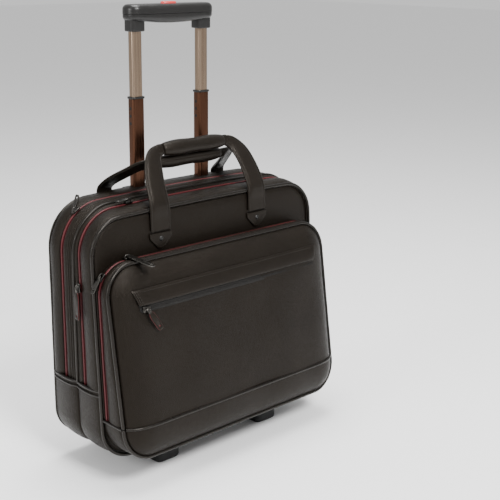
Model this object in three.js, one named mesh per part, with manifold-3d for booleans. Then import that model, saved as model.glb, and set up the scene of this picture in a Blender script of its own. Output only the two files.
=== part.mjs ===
// Rolling laptop case: two zipped compartments and a front pocket in black leatherette on a
// base with two rear wheels and two front feet, a three-stage trolley handle and two carry handles.
// Millimetres. X runs across the case, Z is up and the front faces -Y. The origin is on the floor
// under the middle of the case. Depth is measured forwards from the rear face.
import * as THREE from "three";
import { mergeVertices } from "three/addons/utils/BufferGeometryUtils.js";
import Module from "manifold-3d";

const wasm = await Module();
wasm.setup();

// ---- Main sizes ----
const REAR_Y = 85; // y of the rear face
const HALF_WIDTH = 215;
const POCKET_HALF_WIDTH = 213;
const CASE_BOTTOM = 30;
const REAR_TOP = 390;
const FRONT_TOP = 380;
const POCKET_BOTTOM = 45;
const POCKET_TOP = 320;
const BOOT_TOP = 137; // top edge of the reinforced lower wrap
const POCKET_SEAM = 96; // seam across the pocket, where its lid folds
const WALL = 4; // padded leatherette of the compartments
const POCKET_WALL = 3;
const GAP = 0.4; // clearance between neighbouring pieces

// ---- Depths of the upright planes; they lean forwards towards the bottom ----
const LEAN_FROM = 380;
const LEAN_HEIGHT = 250;
const lean = (top, extra) => (z) => top + (extra * (LEAN_FROM - z)) / LEAN_HEIGHT;
const offset = (plane, by) => (z) => plane(z) + by;
const REAR_ZIP = 32.4;
const laptopZip = lean(73.2, 5.5);
const frontFace = lean(102.9, 13.4);
const pocketZip = offset(frontFace, 7.5);
const pocketEdge = lean(120.3, 38.4);
const TAPE_WIDTH = 6.2; // one half of a zip
const POCKET_TAPE_WIDTH = 4.6;
const TAPE_INSET = 0.8;
const TAPE_THICKNESS = 1.6;
const PARTITION = [60.5, 62.5];
const HINGE_DEPTH = 119; // line at the bottom of the front face about which the compartments open

// ---- Trolley ----
const TUBE_X = 63;
const TUBE_DEPTH = 14;
const OUTER_TUBE = { width: 24.4, depth: 18.4, wall: 1.2, from: 58.4, to: 383.6 };
const MIDDLE_TUBE = { width: 21, depth: 15, wall: 1, from: 206, to: 524 };
const UPPER_TUBE = { width: 18, depth: 12, wall: 1.5, from: 324, to: 640 };
const GRIP_BOTTOM = 620;
const GRIP_SPLIT = 644;
const GRIP_TOP = 658;
const GRIP_HALF_LENGTH = 79;
const GRIP_HALF_DEPTH = 17;
const BUTTON_HALF_LENGTH = 14;
const BUTTON_HALF_DEPTH = 6.5;

// ---- Wheels and feet ----
const WHEEL_X = 126;
const WHEEL_DEPTH = 18;
const WHEEL_RADIUS = 30;
const HUB_RADIUS = 22;
const AXLE_RADIUS = 4;
const HOUSING = { halfWidth: 22, rear: -3, front: 57, top: 70 };
const FOOT = { x: 102, halfWidth: 22, rear: 92, front: 130, top: 29.6 };

const BLACK_LEATHER = { color: 0x1b1a19, roughness: 0.55, metalness: 0 };
const LINING = { color: 0x24221f, roughness: 0.9, metalness: 0 };
const RED_TAPE = { color: 0x6e1f22, roughness: 0.85, metalness: 0 };
const RED_PLASTIC = { color: 0xb02a25, roughness: 0.4, metalness: 0 };
const BLACK_PLASTIC = { color: 0x151515, roughness: 0.45, metalness: 0 };
const RUBBER = { color: 0x101010, roughness: 0.9, metalness: 0 };
const BRONZE_METAL = { color: 0x8a7460, roughness: 0.3, metalness: 1 };
const DARK_METAL = { color: 0x55524e, roughness: 0.35, metalness: 1 };

const root = new THREE.Group();
root.name = "rolling_laptop_case";
const SIDES = [["l", -1], ["r", 1]];

// ---- Helpers ----
const at = (x, depth, z) => new THREE.Vector3(x, REAR_Y - depth, z);
const valueAt = (depth, z) => (typeof depth === "function" ? depth(z) : depth);

function add(name, shape, look) {
  const geometry = shape.isBufferGeometry ? shape : geometryOf(shape);
  const mesh = new THREE.Mesh(geometry, new THREE.MeshStandardMaterial(look));
  mesh.name = name;
  root.add(mesh);
}

function solidOf(geometry) {
  const bare = geometry.index ? geometry.toNonIndexed() : geometry.clone();
  bare.deleteAttribute("normal");
  bare.deleteAttribute("uv");
  const merged = mergeVertices(bare, 1e-4);
  const vertProperties = new Float32Array(merged.attributes.position.array);
  const triVerts = new Uint32Array(merged.index.array);
  return new wasm.Manifold(new wasm.Mesh({ numProp: 3, vertProperties, triVerts }));
}

function geometryOf(solid) {
  const mesh = solid.getMesh();
  const geometry = new THREE.BufferGeometry();
  const positions = new Float32Array(mesh.vertProperties);
  geometry.setAttribute("position", new THREE.BufferAttribute(positions, 3));
  geometry.setIndex(new THREE.BufferAttribute(new Uint32Array(mesh.triVerts), 1));
  geometry.computeVertexNormals();
  return geometry;
}

// A closed surface through rings of points, with a fan from the middle over each end.
function skin(rings) {
  const count = rings[0].length;
  const points = rings.flat();
  const first = points.length;
  for (const ring of [rings[0], rings[rings.length - 1]]) {
    const middle = new THREE.Vector3();
    ring.forEach((p) => middle.add(p));
    points.push(middle.divideScalar(count));
  }
  const faces = [];
  const start = (rings.length - 1) * count;
  for (let i = 0; i < count; i += 1) {
    const next = (i + 1) % count;
    for (let r = 0; r < rings.length - 1; r += 1) {
      const a = r * count;
      faces.push([a + i, a + next, a + count + next]);
      faces.push([a + i, a + count + next, a + count + i]);
    }
    faces.push([first, next, i]);
    faces.push([first + 1, start + i, start + next]);
  }
  let volume = 0;
  for (const [a, b, c] of faces) {
    volume += points[a].dot(points[b].clone().cross(points[c]));
  }
  const turned = volume < 0 ? faces.map(([a, b, c]) => [a, c, b]) : faces;
  const geometry = new THREE.BufferGeometry().setFromPoints(points);
  geometry.setIndex(turned.flat());
  return solidOf(geometry);
}

function box(x0, x1, depth0, depth1, z0, z1) {
  const geometry = new THREE.BoxGeometry(x1 - x0, depth1 - depth0, z1 - z0);
  geometry.translate((x0 + x1) / 2, REAR_Y - (depth0 + depth1) / 2, (z0 + z1) / 2);
  return solidOf(geometry);
}

const FAR = 400;
const above = (z) => box(-FAR, FAR, -FAR, FAR, z, z + 2 * FAR);
const below = (z) => box(-FAR, FAR, -FAR, FAR, z - 2 * FAR, z);

// Corner arcs of a rounded rectangle, as [x, z] points.
const CORNER_STEPS = 6;
function roundedRectangle(halfWidth, bottom, top, bottomRadius, topRadius) {
  const corners = [
    [1, bottom, bottomRadius, 3],
    [1, top, topRadius, 0],
    [-1, top, topRadius, 1],
    [-1, bottom, bottomRadius, 2],
  ];
  const points = [];
  for (const [side, edge, radius, quarter] of corners) {
    const centreX = side * (halfWidth - radius);
    const centreZ = edge === top ? top - radius : bottom + radius;
    for (let i = 0; i <= CORNER_STEPS; i += 1) {
      const angle = ((quarter + i / CORNER_STEPS) * Math.PI) / 2;
      points.push([centreX + radius * Math.cos(angle), centreZ + radius * Math.sin(angle)]);
    }
  }
  return points;
}

// ---- Outlines of the case, seen from the front ----
const REAR_OUTLINE = { half: HALF_WIDTH, bottom: CASE_BOTTOM, top: REAR_TOP, low: 48, high: 66 };
const FRONT_OUTLINE = { half: HALF_WIDTH, bottom: CASE_BOTTOM, top: FRONT_TOP, low: 48, high: 53 };
const POCKET_OUTLINE = {
  half: POCKET_HALF_WIDTH,
  bottom: POCKET_BOTTOM,
  top: POCKET_TOP,
  low: 45,
  high: 45,
};

function mixed(share) {
  const mix = (key) => THREE.MathUtils.lerp(REAR_OUTLINE[key], FRONT_OUTLINE[key], share);
  return {
    half: mix("half"),
    bottom: mix("bottom"),
    top: mix("top"),
    low: mix("low"),
    high: mix("high"),
  };
}

// How far the outline has changed from the rear one to the front one at a depth.
const CHANGE_FROM = 60;
const CHANGE_TO = 103;
function caseOutline(depth) {
  const share = (depth - CHANGE_FROM) / (CHANGE_TO - CHANGE_FROM);
  return mixed(THREE.MathUtils.clamp(share, 0, 1));
}

function ring(outline, inset, depth) {
  const flat = roundedRectangle(
    outline.half - inset,
    outline.bottom + inset,
    outline.top - inset,
    Math.max(outline.low - inset, 2),
    Math.max(outline.high - inset, 2),
  );
  return flat.map(([x, z]) => at(x, valueAt(depth, z), z));
}

// Layers are [depth or plane, inset] from rear to front.
const pile = (outline, layers) => skin(layers.map(([depth, inset]) => ring(outline, inset, depth)));
function casePile(layers) {
  return skin(layers.map(([depth, inset]) => ring(caseOutline(valueAt(depth, FRONT_TOP)), inset, depth)));
}

// One half of a zip: a thin arch that follows the outline down to the seam.
function tapeArch(makePile, rear, front, seam) {
  const inner = TAPE_INSET + TAPE_THICKNESS;
  const outside = makePile([[rear, TAPE_INSET], [front, TAPE_INSET]]);
  const inside = makePile([[offset((z) => valueAt(rear, z), -1), inner], [offset((z) => valueAt(front, z), 1), inner]]);
  return outside.subtract(inside).intersect(above(seam + GAP));
}

// ---- Rear compartment, on the base ----
const tapeRear = REAR_ZIP - 0.2 - TAPE_WIDTH;
const rearOuter = casePile([[0, 6], [1.6, 2.2], [6, 0], [tapeRear - 0.3, 0]]);
const rearInner = casePile([[WALL, 8], [WALL + 4, WALL], [REAR_ZIP, WALL]]);
const BEZEL = { halfWidth: 88, rear: 4.6, front: 24, bottom: 384, top: 394 };
const bezelHole = box(
  -BEZEL.halfWidth - GAP,
  BEZEL.halfWidth + GAP,
  BEZEL.rear - GAP,
  BEZEL.front + GAP,
  BEZEL.bottom - 2 * WALL,
  REAR_TOP + WALL,
);
const rearShell = rearOuter.subtract(rearInner).subtract(bezelHole).intersect(above(BOOT_TOP + GAP));
add("rear_shell", rearShell, BLACK_LEATHER);

const wheelWells = SIDES.map(([, side]) =>
  box(
    side * WHEEL_X - HOUSING.halfWidth - GAP,
    side * WHEEL_X + HOUSING.halfWidth + GAP,
    HOUSING.rear - GAP,
    HOUSING.front + GAP,
    CASE_BOTTOM - WALL,
    HOUSING.top + GAP,
  ),
);
const bootFront = offset(frontFace, -WALL - GAP);
const bootOuter = pile(REAR_OUTLINE, [[0, 6], [1.6, 2.2], [6, 0], [bootFront, 0]]);
const bootInner = pile(REAR_OUTLINE, [[WALL, 8], [WALL + 4, WALL], [offset(bootFront, WALL), WALL]]);
let bootTub = bootOuter.subtract(bootInner).intersect(below(BOOT_TOP));
wheelWells.forEach((well) => {
  bootTub = bootTub.subtract(well);
});
add("boot_tub", bootTub, BLACK_LEATHER);

const BOARD = { halfWidth: 164, rear: 9, front: 112, thickness: 3 };
const boardBottom = CASE_BOTTOM + WALL + GAP;
let baseBoard = box(
  -BOARD.halfWidth,
  BOARD.halfWidth,
  BOARD.rear,
  BOARD.front,
  boardBottom,
  boardBottom + BOARD.thickness,
);
wheelWells.forEach((well) => {
  baseBoard = baseBoard.subtract(well);
});
add("base_board", baseBoard, BLACK_PLASTIC);

const partitionBottom = boardBottom + BOARD.thickness + GAP;
const lowerPartition = pile(REAR_OUTLINE, PARTITION.map((depth) => [depth, WALL + GAP]))
  .intersect(above(partitionBottom))
  .intersect(below(BOOT_TOP - GAP));
add("lower_partition", lowerPartition, LINING);

// ---- Middle section: front half of the rear compartment, rear half of the laptop compartment ----
const laptopTapeRear = offset(laptopZip, -0.2 - TAPE_WIDTH);
const middleRear = REAR_ZIP + 0.2 + TAPE_WIDTH + 0.3;
const middleFront = offset(laptopTapeRear, -0.3);
const middleOuter = casePile([[middleRear, 0], [CHANGE_FROM, 0], [middleFront, 0]]);
const middleBehind = casePile([[middleRear - WALL, WALL], [PARTITION[0], WALL]]);
const middleAhead = casePile([[PARTITION[1], WALL], [offset(middleFront, WALL), WALL]]);
const middleShell = middleOuter
  .subtract(middleBehind)
  .subtract(middleAhead)
  .intersect(above(BOOT_TOP + GAP));
add("mid_shell", middleShell, BLACK_LEATHER);

// ---- Front section: front half of the laptop compartment and the fixed part of the pocket ----
const frontRear = offset(laptopZip, 0.2 + TAPE_WIDTH + 0.3);
const frontRim = casePile([[frontRear, 0], [offset(frontFace, -5), 0], [offset(frontFace, -1.4), 1.6], [frontFace, 5]]);
const frontRimInner = casePile([[offset(frontRear, -WALL), WALL], [offset(frontFace, -WALL), WALL + 4]]);
const FRONT_BOARD_BOTTOM = 32;
const frontPanel = pile(FRONT_OUTLINE, [[offset(frontFace, -WALL), 1], [offset(frontFace, -1.4), 2], [frontFace, 5]]);
const frontShell = frontRim
  .subtract(frontRimInner)
  .intersect(above(BOOT_TOP + GAP))
  .add(frontPanel.intersect(above(FRONT_BOARD_BOTTOM)).intersect(below(BOOT_TOP + 2)));
add("front_shell", frontShell, BLACK_LEATHER);

// ---- Pocket ----
const POCKET_BULGE = [[0, 0], [12, 9], [40, 17]]; // [inset, forwards of the pocket's edge]
const bulgeLayers = POCKET_BULGE.map(([inset, by]) => [offset(pocketEdge, by), inset]);
const innerLayers = POCKET_BULGE.map(([inset, by]) => [
  offset(pocketEdge, by - POCKET_WALL),
  inset + POCKET_WALL,
]);
const pocketBack = offset(frontFace, GAP);
const pocketPanel = offset(frontFace, 2.4);
const pocketOuter = pile(POCKET_OUTLINE, [[pocketBack, 0], ...bulgeLayers]);
const pocketInner = pile(POCKET_OUTLINE, [[pocketPanel, POCKET_WALL], ...innerLayers]);
const pocketBackPanel = pile(POCKET_OUTLINE, [[pocketBack, 1], [pocketPanel, 1]]);
const pocketTub = pocketOuter
  .subtract(pocketInner)
  .intersect(below(POCKET_SEAM))
  .add(pocketBackPanel);
add("pocket_tub", pocketTub, BLACK_LEATHER);

const lidRear = offset(pocketZip, 0.2 + POCKET_TAPE_WIDTH + 0.3);
const lidOuter = pile(POCKET_OUTLINE, [[lidRear, 0], ...bulgeLayers]);
const lidInner = pile(POCKET_OUTLINE, [[offset(lidRear, -1), POCKET_WALL], ...innerLayers]);
const pocketLid = lidOuter.subtract(lidInner).intersect(above(POCKET_SEAM + GAP));
add("pocket_lid", pocketLid, BLACK_LEATHER);

// ---- Zips ----
const tapes = [
  ["rear_zip_tape_rear", casePile, tapeRear, REAR_ZIP - 0.2, BOOT_TOP],
  ["rear_zip_tape_front", casePile, REAR_ZIP + 0.2, REAR_ZIP + 0.2 + TAPE_WIDTH, BOOT_TOP],
  ["laptop_zip_tape_rear", casePile, laptopTapeRear, offset(laptopZip, -0.2), BOOT_TOP],
  [
    "laptop_zip_tape_front",
    casePile,
    offset(laptopZip, 0.2),
    offset(laptopZip, 0.2 + TAPE_WIDTH),
    BOOT_TOP,
  ],
  [
    "pocket_zip_tape_rear",
    (layers) => pile(POCKET_OUTLINE, layers),
    offset(pocketZip, -0.2 - POCKET_TAPE_WIDTH),
    offset(pocketZip, -0.2),
    POCKET_SEAM,
  ],
  [
    "pocket_zip_tape_front",
    (layers) => pile(POCKET_OUTLINE, layers),
    offset(pocketZip, 0.2),
    offset(pocketZip, 0.2 + POCKET_TAPE_WIDTH),
    POCKET_SEAM,
  ],
];
for (const [name, makePile, rear, front, seam] of tapes) {
  add(name, tapeArch(makePile, rear, front, seam), RED_TAPE);
}

// ---- Slit pocket on the lid ----
// Distance from the pocket's outline, and the depth of its front surface there.
function pocketInset(x, z) {
  const { half, bottom, top, high } = POCKET_OUTLINE;
  const acrossX = Math.abs(x) - (half - high);
  const acrossZ = Math.abs(z - (top + bottom) / 2) - ((top - bottom) / 2 - high);
  const outside = Math.hypot(Math.max(acrossX, 0), Math.max(acrossZ, 0));
  return high - outside - Math.min(Math.max(acrossX, acrossZ), 0);
}

function pocketSurface(x, z) {
  const inset = pocketInset(x, z);
  const [edge, shoulder, flat] = POCKET_BULGE;
  const share = (from, to) => (inset - from[0]) / (to[0] - from[0]);
  const rise = (from, to) => from[1] + share(from, to) * (to[1] - from[1]);
  if (inset >= flat[0]) {
    return pocketEdge(z) + flat[1];
  }
  return pocketEdge(z) + (inset > shoulder[0] ? rise(shoulder, flat) : rise(edge, shoulder));
}

const FLAP = { half: 178, bottom: 268, top: 287, thickness: 2.2, clearance: 2.3 };
const flapStations = [-1, -0.9, -0.7, 0, 0.7, 0.9, 1].map((share) => {
  const x = share * FLAP.half;
  const slant = (Math.abs(share) === 1 ? 1 : 0) * Math.sign(share) * 3;
  const near = (z) => pocketSurface(x, z) + FLAP.clearance;
  return [
    at(x - slant, near(FLAP.bottom), FLAP.bottom),
    at(x - slant, near(FLAP.bottom) + FLAP.thickness, FLAP.bottom),
    at(x + slant, near(FLAP.top) + FLAP.thickness * 0.6, FLAP.top),
    at(x + slant, near(FLAP.top), FLAP.top),
  ];
});
add("slit_flap", skin(flapStations), BLACK_LEATHER);

// ---- Tubes ----
function roundedShape(halfX, halfY, radius) {
  const shape = new THREE.Shape();
  shape.moveTo(halfX - radius, -halfY);
  shape.absarc(halfX - radius, -halfY + radius, radius, -Math.PI / 2, 0);
  shape.absarc(halfX - radius, halfY - radius, radius, 0, Math.PI / 2);
  shape.absarc(-halfX + radius, halfY - radius, radius, Math.PI / 2, Math.PI);
  shape.absarc(-halfX + radius, -halfY + radius, radius, Math.PI, 1.5 * Math.PI);
  shape.closePath();
  return shape;
}

function prism(shape, x, depth, from, to, curveSegments = 3) {
  const geometry = new THREE.ExtrudeGeometry(shape, {
    depth: to - from,
    bevelEnabled: false,
    curveSegments,
  });
  geometry.translate(x, REAR_Y - depth, from);
  return solidOf(geometry);
}

const TUBE_CORNER = 3.5;
function tube(side, size) {
  const shape = roundedShape(size.width / 2, size.depth / 2, TUBE_CORNER);
  const cavity = roundedShape(
    size.width / 2 - size.wall,
    size.depth / 2 - size.wall,
    TUBE_CORNER - size.wall,
  );
  shape.holes.push(cavity);
  return prism(shape, side * TUBE_X, TUBE_DEPTH, size.from, size.to);
}

const clearanceHole = (side, size, by, from, to) =>
  prism(
    roundedShape(size.width / 2 + by, size.depth / 2 + by, TUBE_CORNER),
    side * TUBE_X,
    TUBE_DEPTH,
    from,
    to,
  );

const LOCK_HOLES = [488, 499, 510];
const LOCK_HOLE_RADIUS = 1.9;
const COLLAR = { width: 23.4, depth: 17.4, height: 3 };

for (const [letter, side] of SIDES) {
  add(`outer_tube_${letter}`, tube(side, OUTER_TUBE), DARK_METAL);
  let middleTube = tube(side, MIDDLE_TUBE);
  for (const z of LOCK_HOLES) {
    const drill = new THREE.CylinderGeometry(LOCK_HOLE_RADIUS, LOCK_HOLE_RADIUS, 6, 12);
    drill.rotateZ(Math.PI / 2);
    drill.translate(side * TUBE_X - MIDDLE_TUBE.width / 2, REAR_Y - TUBE_DEPTH, z);
    middleTube = middleTube.subtract(solidOf(drill));
  }
  add(`middle_tube_${letter}`, middleTube, BRONZE_METAL);
  const collarFrom = MIDDLE_TUBE.to + 0.3;
  const collar = prism(
    roundedShape(COLLAR.width / 2, COLLAR.depth / 2, TUBE_CORNER),
    side * TUBE_X,
    TUBE_DEPTH,
    collarFrom,
    collarFrom + COLLAR.height,
  ).subtract(clearanceHole(side, UPPER_TUBE, GAP, collarFrom - 1, collarFrom + COLLAR.height + 1));
  add(`collar_${letter}`, collar, BLACK_PLASTIC);
  add(`upper_tube_${letter}`, tube(side, UPPER_TUBE), BRONZE_METAL);
}

let bezel = prism(
  roundedShape(BEZEL.halfWidth, (BEZEL.front - BEZEL.rear) / 2, 6),
  0,
  (BEZEL.front + BEZEL.rear) / 2,
  BEZEL.bottom,
  BEZEL.top,
);
const BRACKET = { halfWidth: 80, rear: 4.6, front: 24, bottom: partitionBottom, top: 72 };
let bracket = box(
  -BRACKET.halfWidth,
  BRACKET.halfWidth,
  BRACKET.rear,
  BRACKET.front,
  BRACKET.bottom,
  BRACKET.top,
);
for (const [, side] of SIDES) {
  bezel = bezel.subtract(clearanceHole(side, MIDDLE_TUBE, GAP, BEZEL.bottom - 1, BEZEL.top + 1));
  bracket = bracket.subtract(
    clearanceHole(side, OUTER_TUBE, 0.1, OUTER_TUBE.from - GAP, BRACKET.top + 1),
  );
}
add("top_bezel", bezel, BLACK_PLASTIC);
add("bottom_bracket", bracket, BLACK_PLASTIC);

// ---- Trolley grip ----
const gripLayer = (z, inset) => {
  const shape = roundedRectangle(
    GRIP_HALF_LENGTH - inset,
    -GRIP_HALF_DEPTH + inset,
    GRIP_HALF_DEPTH - inset,
    GRIP_HALF_DEPTH - inset - 1,
    GRIP_HALF_DEPTH - inset - 1,
  );
  return shape.map(([x, across]) => at(x, TUBE_DEPTH + across, z));
};
const stadium = (halfLength, halfDepth) => roundedShape(halfLength, halfDepth, halfDepth - 0.2);
const BUTTON_CLEARANCE = 0.5;
const gripUpper = skin([
  gripLayer(GRIP_SPLIT + GAP, 0),
  gripLayer(GRIP_SPLIT + 6, 0),
  gripLayer(GRIP_TOP - 4, 2),
  gripLayer(GRIP_TOP - 1, 6),
  gripLayer(GRIP_TOP, 10),
])
  .subtract(
    prism(
      stadium(BUTTON_HALF_LENGTH + BUTTON_CLEARANCE, BUTTON_HALF_DEPTH + BUTTON_CLEARANCE),
      0,
      TUBE_DEPTH,
      GRIP_SPLIT + 5,
      GRIP_TOP + 5,
    ),
  );
add("grip_upper_shell", gripUpper, BLACK_PLASTIC);

const SOCKET_HALF_WIDTH = 13;
const SOCKET_HALF_DEPTH = 11;
let gripLower = skin([
  gripLayer(GRIP_SPLIT, 0),
  gripLayer(GRIP_SPLIT - 5, 1.5),
  gripLayer(GRIP_SPLIT - 9, 6),
]);
for (const [, side] of SIDES) {
  const socket = prism(
    roundedShape(SOCKET_HALF_WIDTH, SOCKET_HALF_DEPTH, 6),
    side * TUBE_X,
    TUBE_DEPTH,
    GRIP_BOTTOM,
    GRIP_SPLIT - 4,
  );
  gripLower = gripLower.add(socket);
}
for (const [, side] of SIDES) {
  gripLower = gripLower.subtract(
    clearanceHole(side, UPPER_TUBE, 0.15, GRIP_BOTTOM - 1, UPPER_TUBE.to + 0.3),
  );
}
add("grip_lower_shell", gripLower, BLACK_PLASTIC);

const button = prism(
  stadium(BUTTON_HALF_LENGTH, BUTTON_HALF_DEPTH),
  0,
  TUBE_DEPTH,
  GRIP_SPLIT + 10,
  GRIP_TOP + 3,
);
add("release_button", button, RED_PLASTIC);

// ---- Wheels ----
const ROUND_STEPS = 32;
function turned(profile, x, depth, z) {
  const points = profile.map(([radius, along]) => new THREE.Vector2(radius, along));
  const geometry = new THREE.LatheGeometry(points, ROUND_STEPS);
  geometry.rotateZ(-Math.PI / 2);
  geometry.translate(x, REAR_Y - depth, z);
  return solidOf(geometry);
}

const TYRE_PROFILE = [
  [HUB_RADIUS + 0.3, -8.5],
  [26.5, -10.3],
  [29.2, -8.6],
  [WHEEL_RADIUS, -5],
  [WHEEL_RADIUS, 5],
  [29.2, 8.6],
  [26.5, 10.3],
  [HUB_RADIUS + 0.3, 8.5],
  [HUB_RADIUS + 0.3, -8.5],
];
const HUB_PROFILE = [
  [AXLE_RADIUS + GAP, -10.5],
  [9, -10.5],
  [10, -7],
  [18, -7],
  [19.5, -9],
  [HUB_RADIUS, -9],
  [HUB_RADIUS, 9],
  [19.5, 9],
  [18, 7],
  [10, 7],
  [9, 10.5],
  [AXLE_RADIUS + GAP, 10.5],
  [AXLE_RADIUS + GAP, -10.5],
];
const AXLE_PROFILE = [
  [0, -HOUSING.halfWidth + 1],
  [AXLE_RADIUS, -HOUSING.halfWidth + 1],
  [AXLE_RADIUS, HOUSING.halfWidth - 1],
  [0, HOUSING.halfWidth - 1],
];
const drum = (radius, half) => [
  [0, -half],
  [radius, -half],
  [radius, half],
  [0, half],
];

function housing(side) {
  const { halfWidth, rear, front, top } = HOUSING;
  const outline = new THREE.Shape();
  outline.moveTo(rear, 22);
  outline.lineTo(rear + 3, 19);
  outline.lineTo(34, 19);
  outline.lineTo(front, 29);
  outline.lineTo(front, top - 6);
  outline.lineTo(front - 6, top);
  outline.lineTo(rear + 6, top);
  outline.lineTo(rear, top - 6);
  outline.closePath();
  const geometry = new THREE.ExtrudeGeometry(outline, {
    depth: 2 * halfWidth,
    bevelEnabled: false,
  });
  // The outline is drawn with depth forwards and height up, then turned to run across the case.
  const turn = new THREE.Matrix4().makeBasis(
    new THREE.Vector3(0, -1, 0),
    new THREE.Vector3(0, 0, 1),
    new THREE.Vector3(-1, 0, 0),
  );
  geometry.applyMatrix4(turn);
  geometry.translate(side * WHEEL_X + halfWidth, REAR_Y, 0);
  const slot = turned(drum(WHEEL_RADIUS + 3.4, 13), side * WHEEL_X, WHEEL_DEPTH, WHEEL_RADIUS);
  const bore = turned(drum(AXLE_RADIUS + GAP, 40), side * WHEEL_X, WHEEL_DEPTH, WHEEL_RADIUS);
  return solidOf(geometry).subtract(slot).subtract(bore);
}

function foot(side) {
  const { x, halfWidth, rear, front, top } = FOOT;
  const halfDepth = (front - rear) / 2;
  const layers = [[0, 5], [1.5, 2.2], [5, 0], [top, 0]];
  const rings = layers.map(([z, inset]) => {
    const corner = 7 - inset;
    const shape = roundedRectangle(
      halfWidth - inset,
      -halfDepth + inset,
      halfDepth - inset,
      corner,
      corner,
    );
    return shape.map(([across, along]) => at(side * x + across, (rear + front) / 2 + along, z));
  });
  return skin(rings);
}

for (const [letter, side] of SIDES) {
  add(`wheel_housing_${letter}`, housing(side), BLACK_PLASTIC);
  const centre = [side * WHEEL_X, WHEEL_DEPTH, WHEEL_RADIUS];
  add(`axle_${letter}`, turned(AXLE_PROFILE, ...centre), DARK_METAL);
  add(`tyre_${letter}`, turned(TYRE_PROFILE, ...centre), RUBBER);
  add(`hub_${letter}`, turned(HUB_PROFILE, ...centre), BLACK_PLASTIC);
  add(`front_foot_${letter}`, foot(side), BLACK_PLASTIC);
}

// ---- Carry handles ----
// Stations are [x, depth, z, face forwards, face up, half width, half thickness].
function strap(stations) {
  const mirrored = stations.slice(0, -1).map((s) => [-s[0], ...s.slice(1)]);
  const all = [...mirrored, ...stations.slice().reverse()];
  const centres = all.map(([x, depth, z]) => at(x, depth, z));
  const rings = all.map(([, , , forwards, up, halfWidth, halfThickness], i) => {
    const before = centres[Math.max(i - 1, 0)];
    const after = centres[Math.min(i + 1, centres.length - 1)];
    const along = after.clone().sub(before).normalize();
    const face = new THREE.Vector3(0, -forwards, up).normalize();
    const across = face.clone().cross(along).normalize();
    const out = along.clone().cross(across);
    const section = [
      [halfWidth, -0.5],
      [halfWidth, 0.5],
      [halfWidth - 1, 1],
      [1 - halfWidth, 1],
      [-halfWidth, 0.5],
      [-halfWidth, -0.5],
      [1 - halfWidth, -1],
      [halfWidth - 1, -1],
    ];
    return section.map(([u, v]) => {
      const point = centres[i].clone();
      return point.addScaledVector(across, u).addScaledVector(out, v * halfThickness);
    });
  });
  return skin(rings);
}

// A round sleeve over the middle of a strap, with a slot for it.
const WRAP_STEPS = 16;
function wrap(last, halfLength, radius) {
  const [, depth, z, forwards, up, halfWidth, halfThickness] = last;
  const face = new THREE.Vector3(0, -forwards, up).normalize();
  const across = face.clone().cross(new THREE.Vector3(1, 0, 0)).normalize();
  const point = (x, u, v) => at(x, depth, z).addScaledVector(across, u).addScaledVector(face, v);
  const circle = (x, r) =>
    Array.from({ length: WRAP_STEPS }, (_, i) => {
      const angle = (2 * Math.PI * i) / WRAP_STEPS;
      return point(x, r * Math.cos(angle), r * Math.sin(angle));
    });
  const slot = [-FAR, FAR].map((x) => {
    const u = halfWidth + GAP;
    const v = halfThickness + GAP;
    return [point(x, u, v), point(x, -u, v), point(x, -u, -v), point(x, u, -v)];
  });
  const body = skin([
    circle(-halfLength, radius - 2),
    circle(3 - halfLength, radius),
    circle(halfLength - 3, radius),
    circle(halfLength, radius - 2),
  ]);
  return body.subtract(skin(slot));
}

const STRAP_OFF = 2.4; // centre of a strap from the leather it lies on
const FRONT_STRAP_ROOT = 349;
const frontStrap = [
  [95, frontFace(FRONT_STRAP_ROOT) + STRAP_OFF, FRONT_STRAP_ROOT, 1, 0, 18, 1.7],
  [95, frontFace(364) + STRAP_OFF, 364, 1, 0, 18, 1.7],
  [95, 105.6, 379, 1, 0.05, 18, 1.7],
  [94.5, 103, 392, 0.96, 0.28, 17.5, 1.7],
  [92, 92, 415, 0.91, 0.41, 16.5, 1.7],
  [86, 81, 436, 0.91, 0.41, 15, 1.8],
  [77, 72, 449, 0.9, 0.43, 12, 2.2],
  [66, 68.5, 455, 0.9, 0.43, 9, 2.5],
  [60, 68, 456, 0.9, 0.43, 8, 2.5],
  [0, 68, 456, 0.9, 0.43, 8, 2.5],
];
const REAR_STRAP_ROOT = 382;
const rearStrap = [
  [112, -STRAP_OFF, REAR_STRAP_ROOT, -1, 0, 13.5, 1.7],
  [112, -STRAP_OFF, 387, -1, 0, 13.5, 1.7],
  [111, 0.5, 397, -0.93, 0.37, 13.5, 1.7],
  [107, 12, 408, -0.88, 0.48, 13.5, 1.7],
  [98, 30, 420, -0.87, 0.5, 13, 1.7],
  [88, 46, 430, -0.87, 0.5, 11.5, 1.8],
  [77, 55, 434, -0.87, 0.5, 9.5, 2.2],
  [62, 58, 435, -0.87, 0.5, 8, 2.5],
  [0, 58, 435, -0.87, 0.5, 8, 2.5],
];
add("front_handle_strap", strap(frontStrap), BLACK_LEATHER);
add("front_handle_wrap", wrap(frontStrap[frontStrap.length - 1], 58, 10.5), BLACK_LEATHER);
add("rear_handle_strap", strap(rearStrap), BLACK_LEATHER);
add("rear_handle_wrap", wrap(rearStrap[rearStrap.length - 1], 60, 9.8), BLACK_LEATHER);

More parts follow.
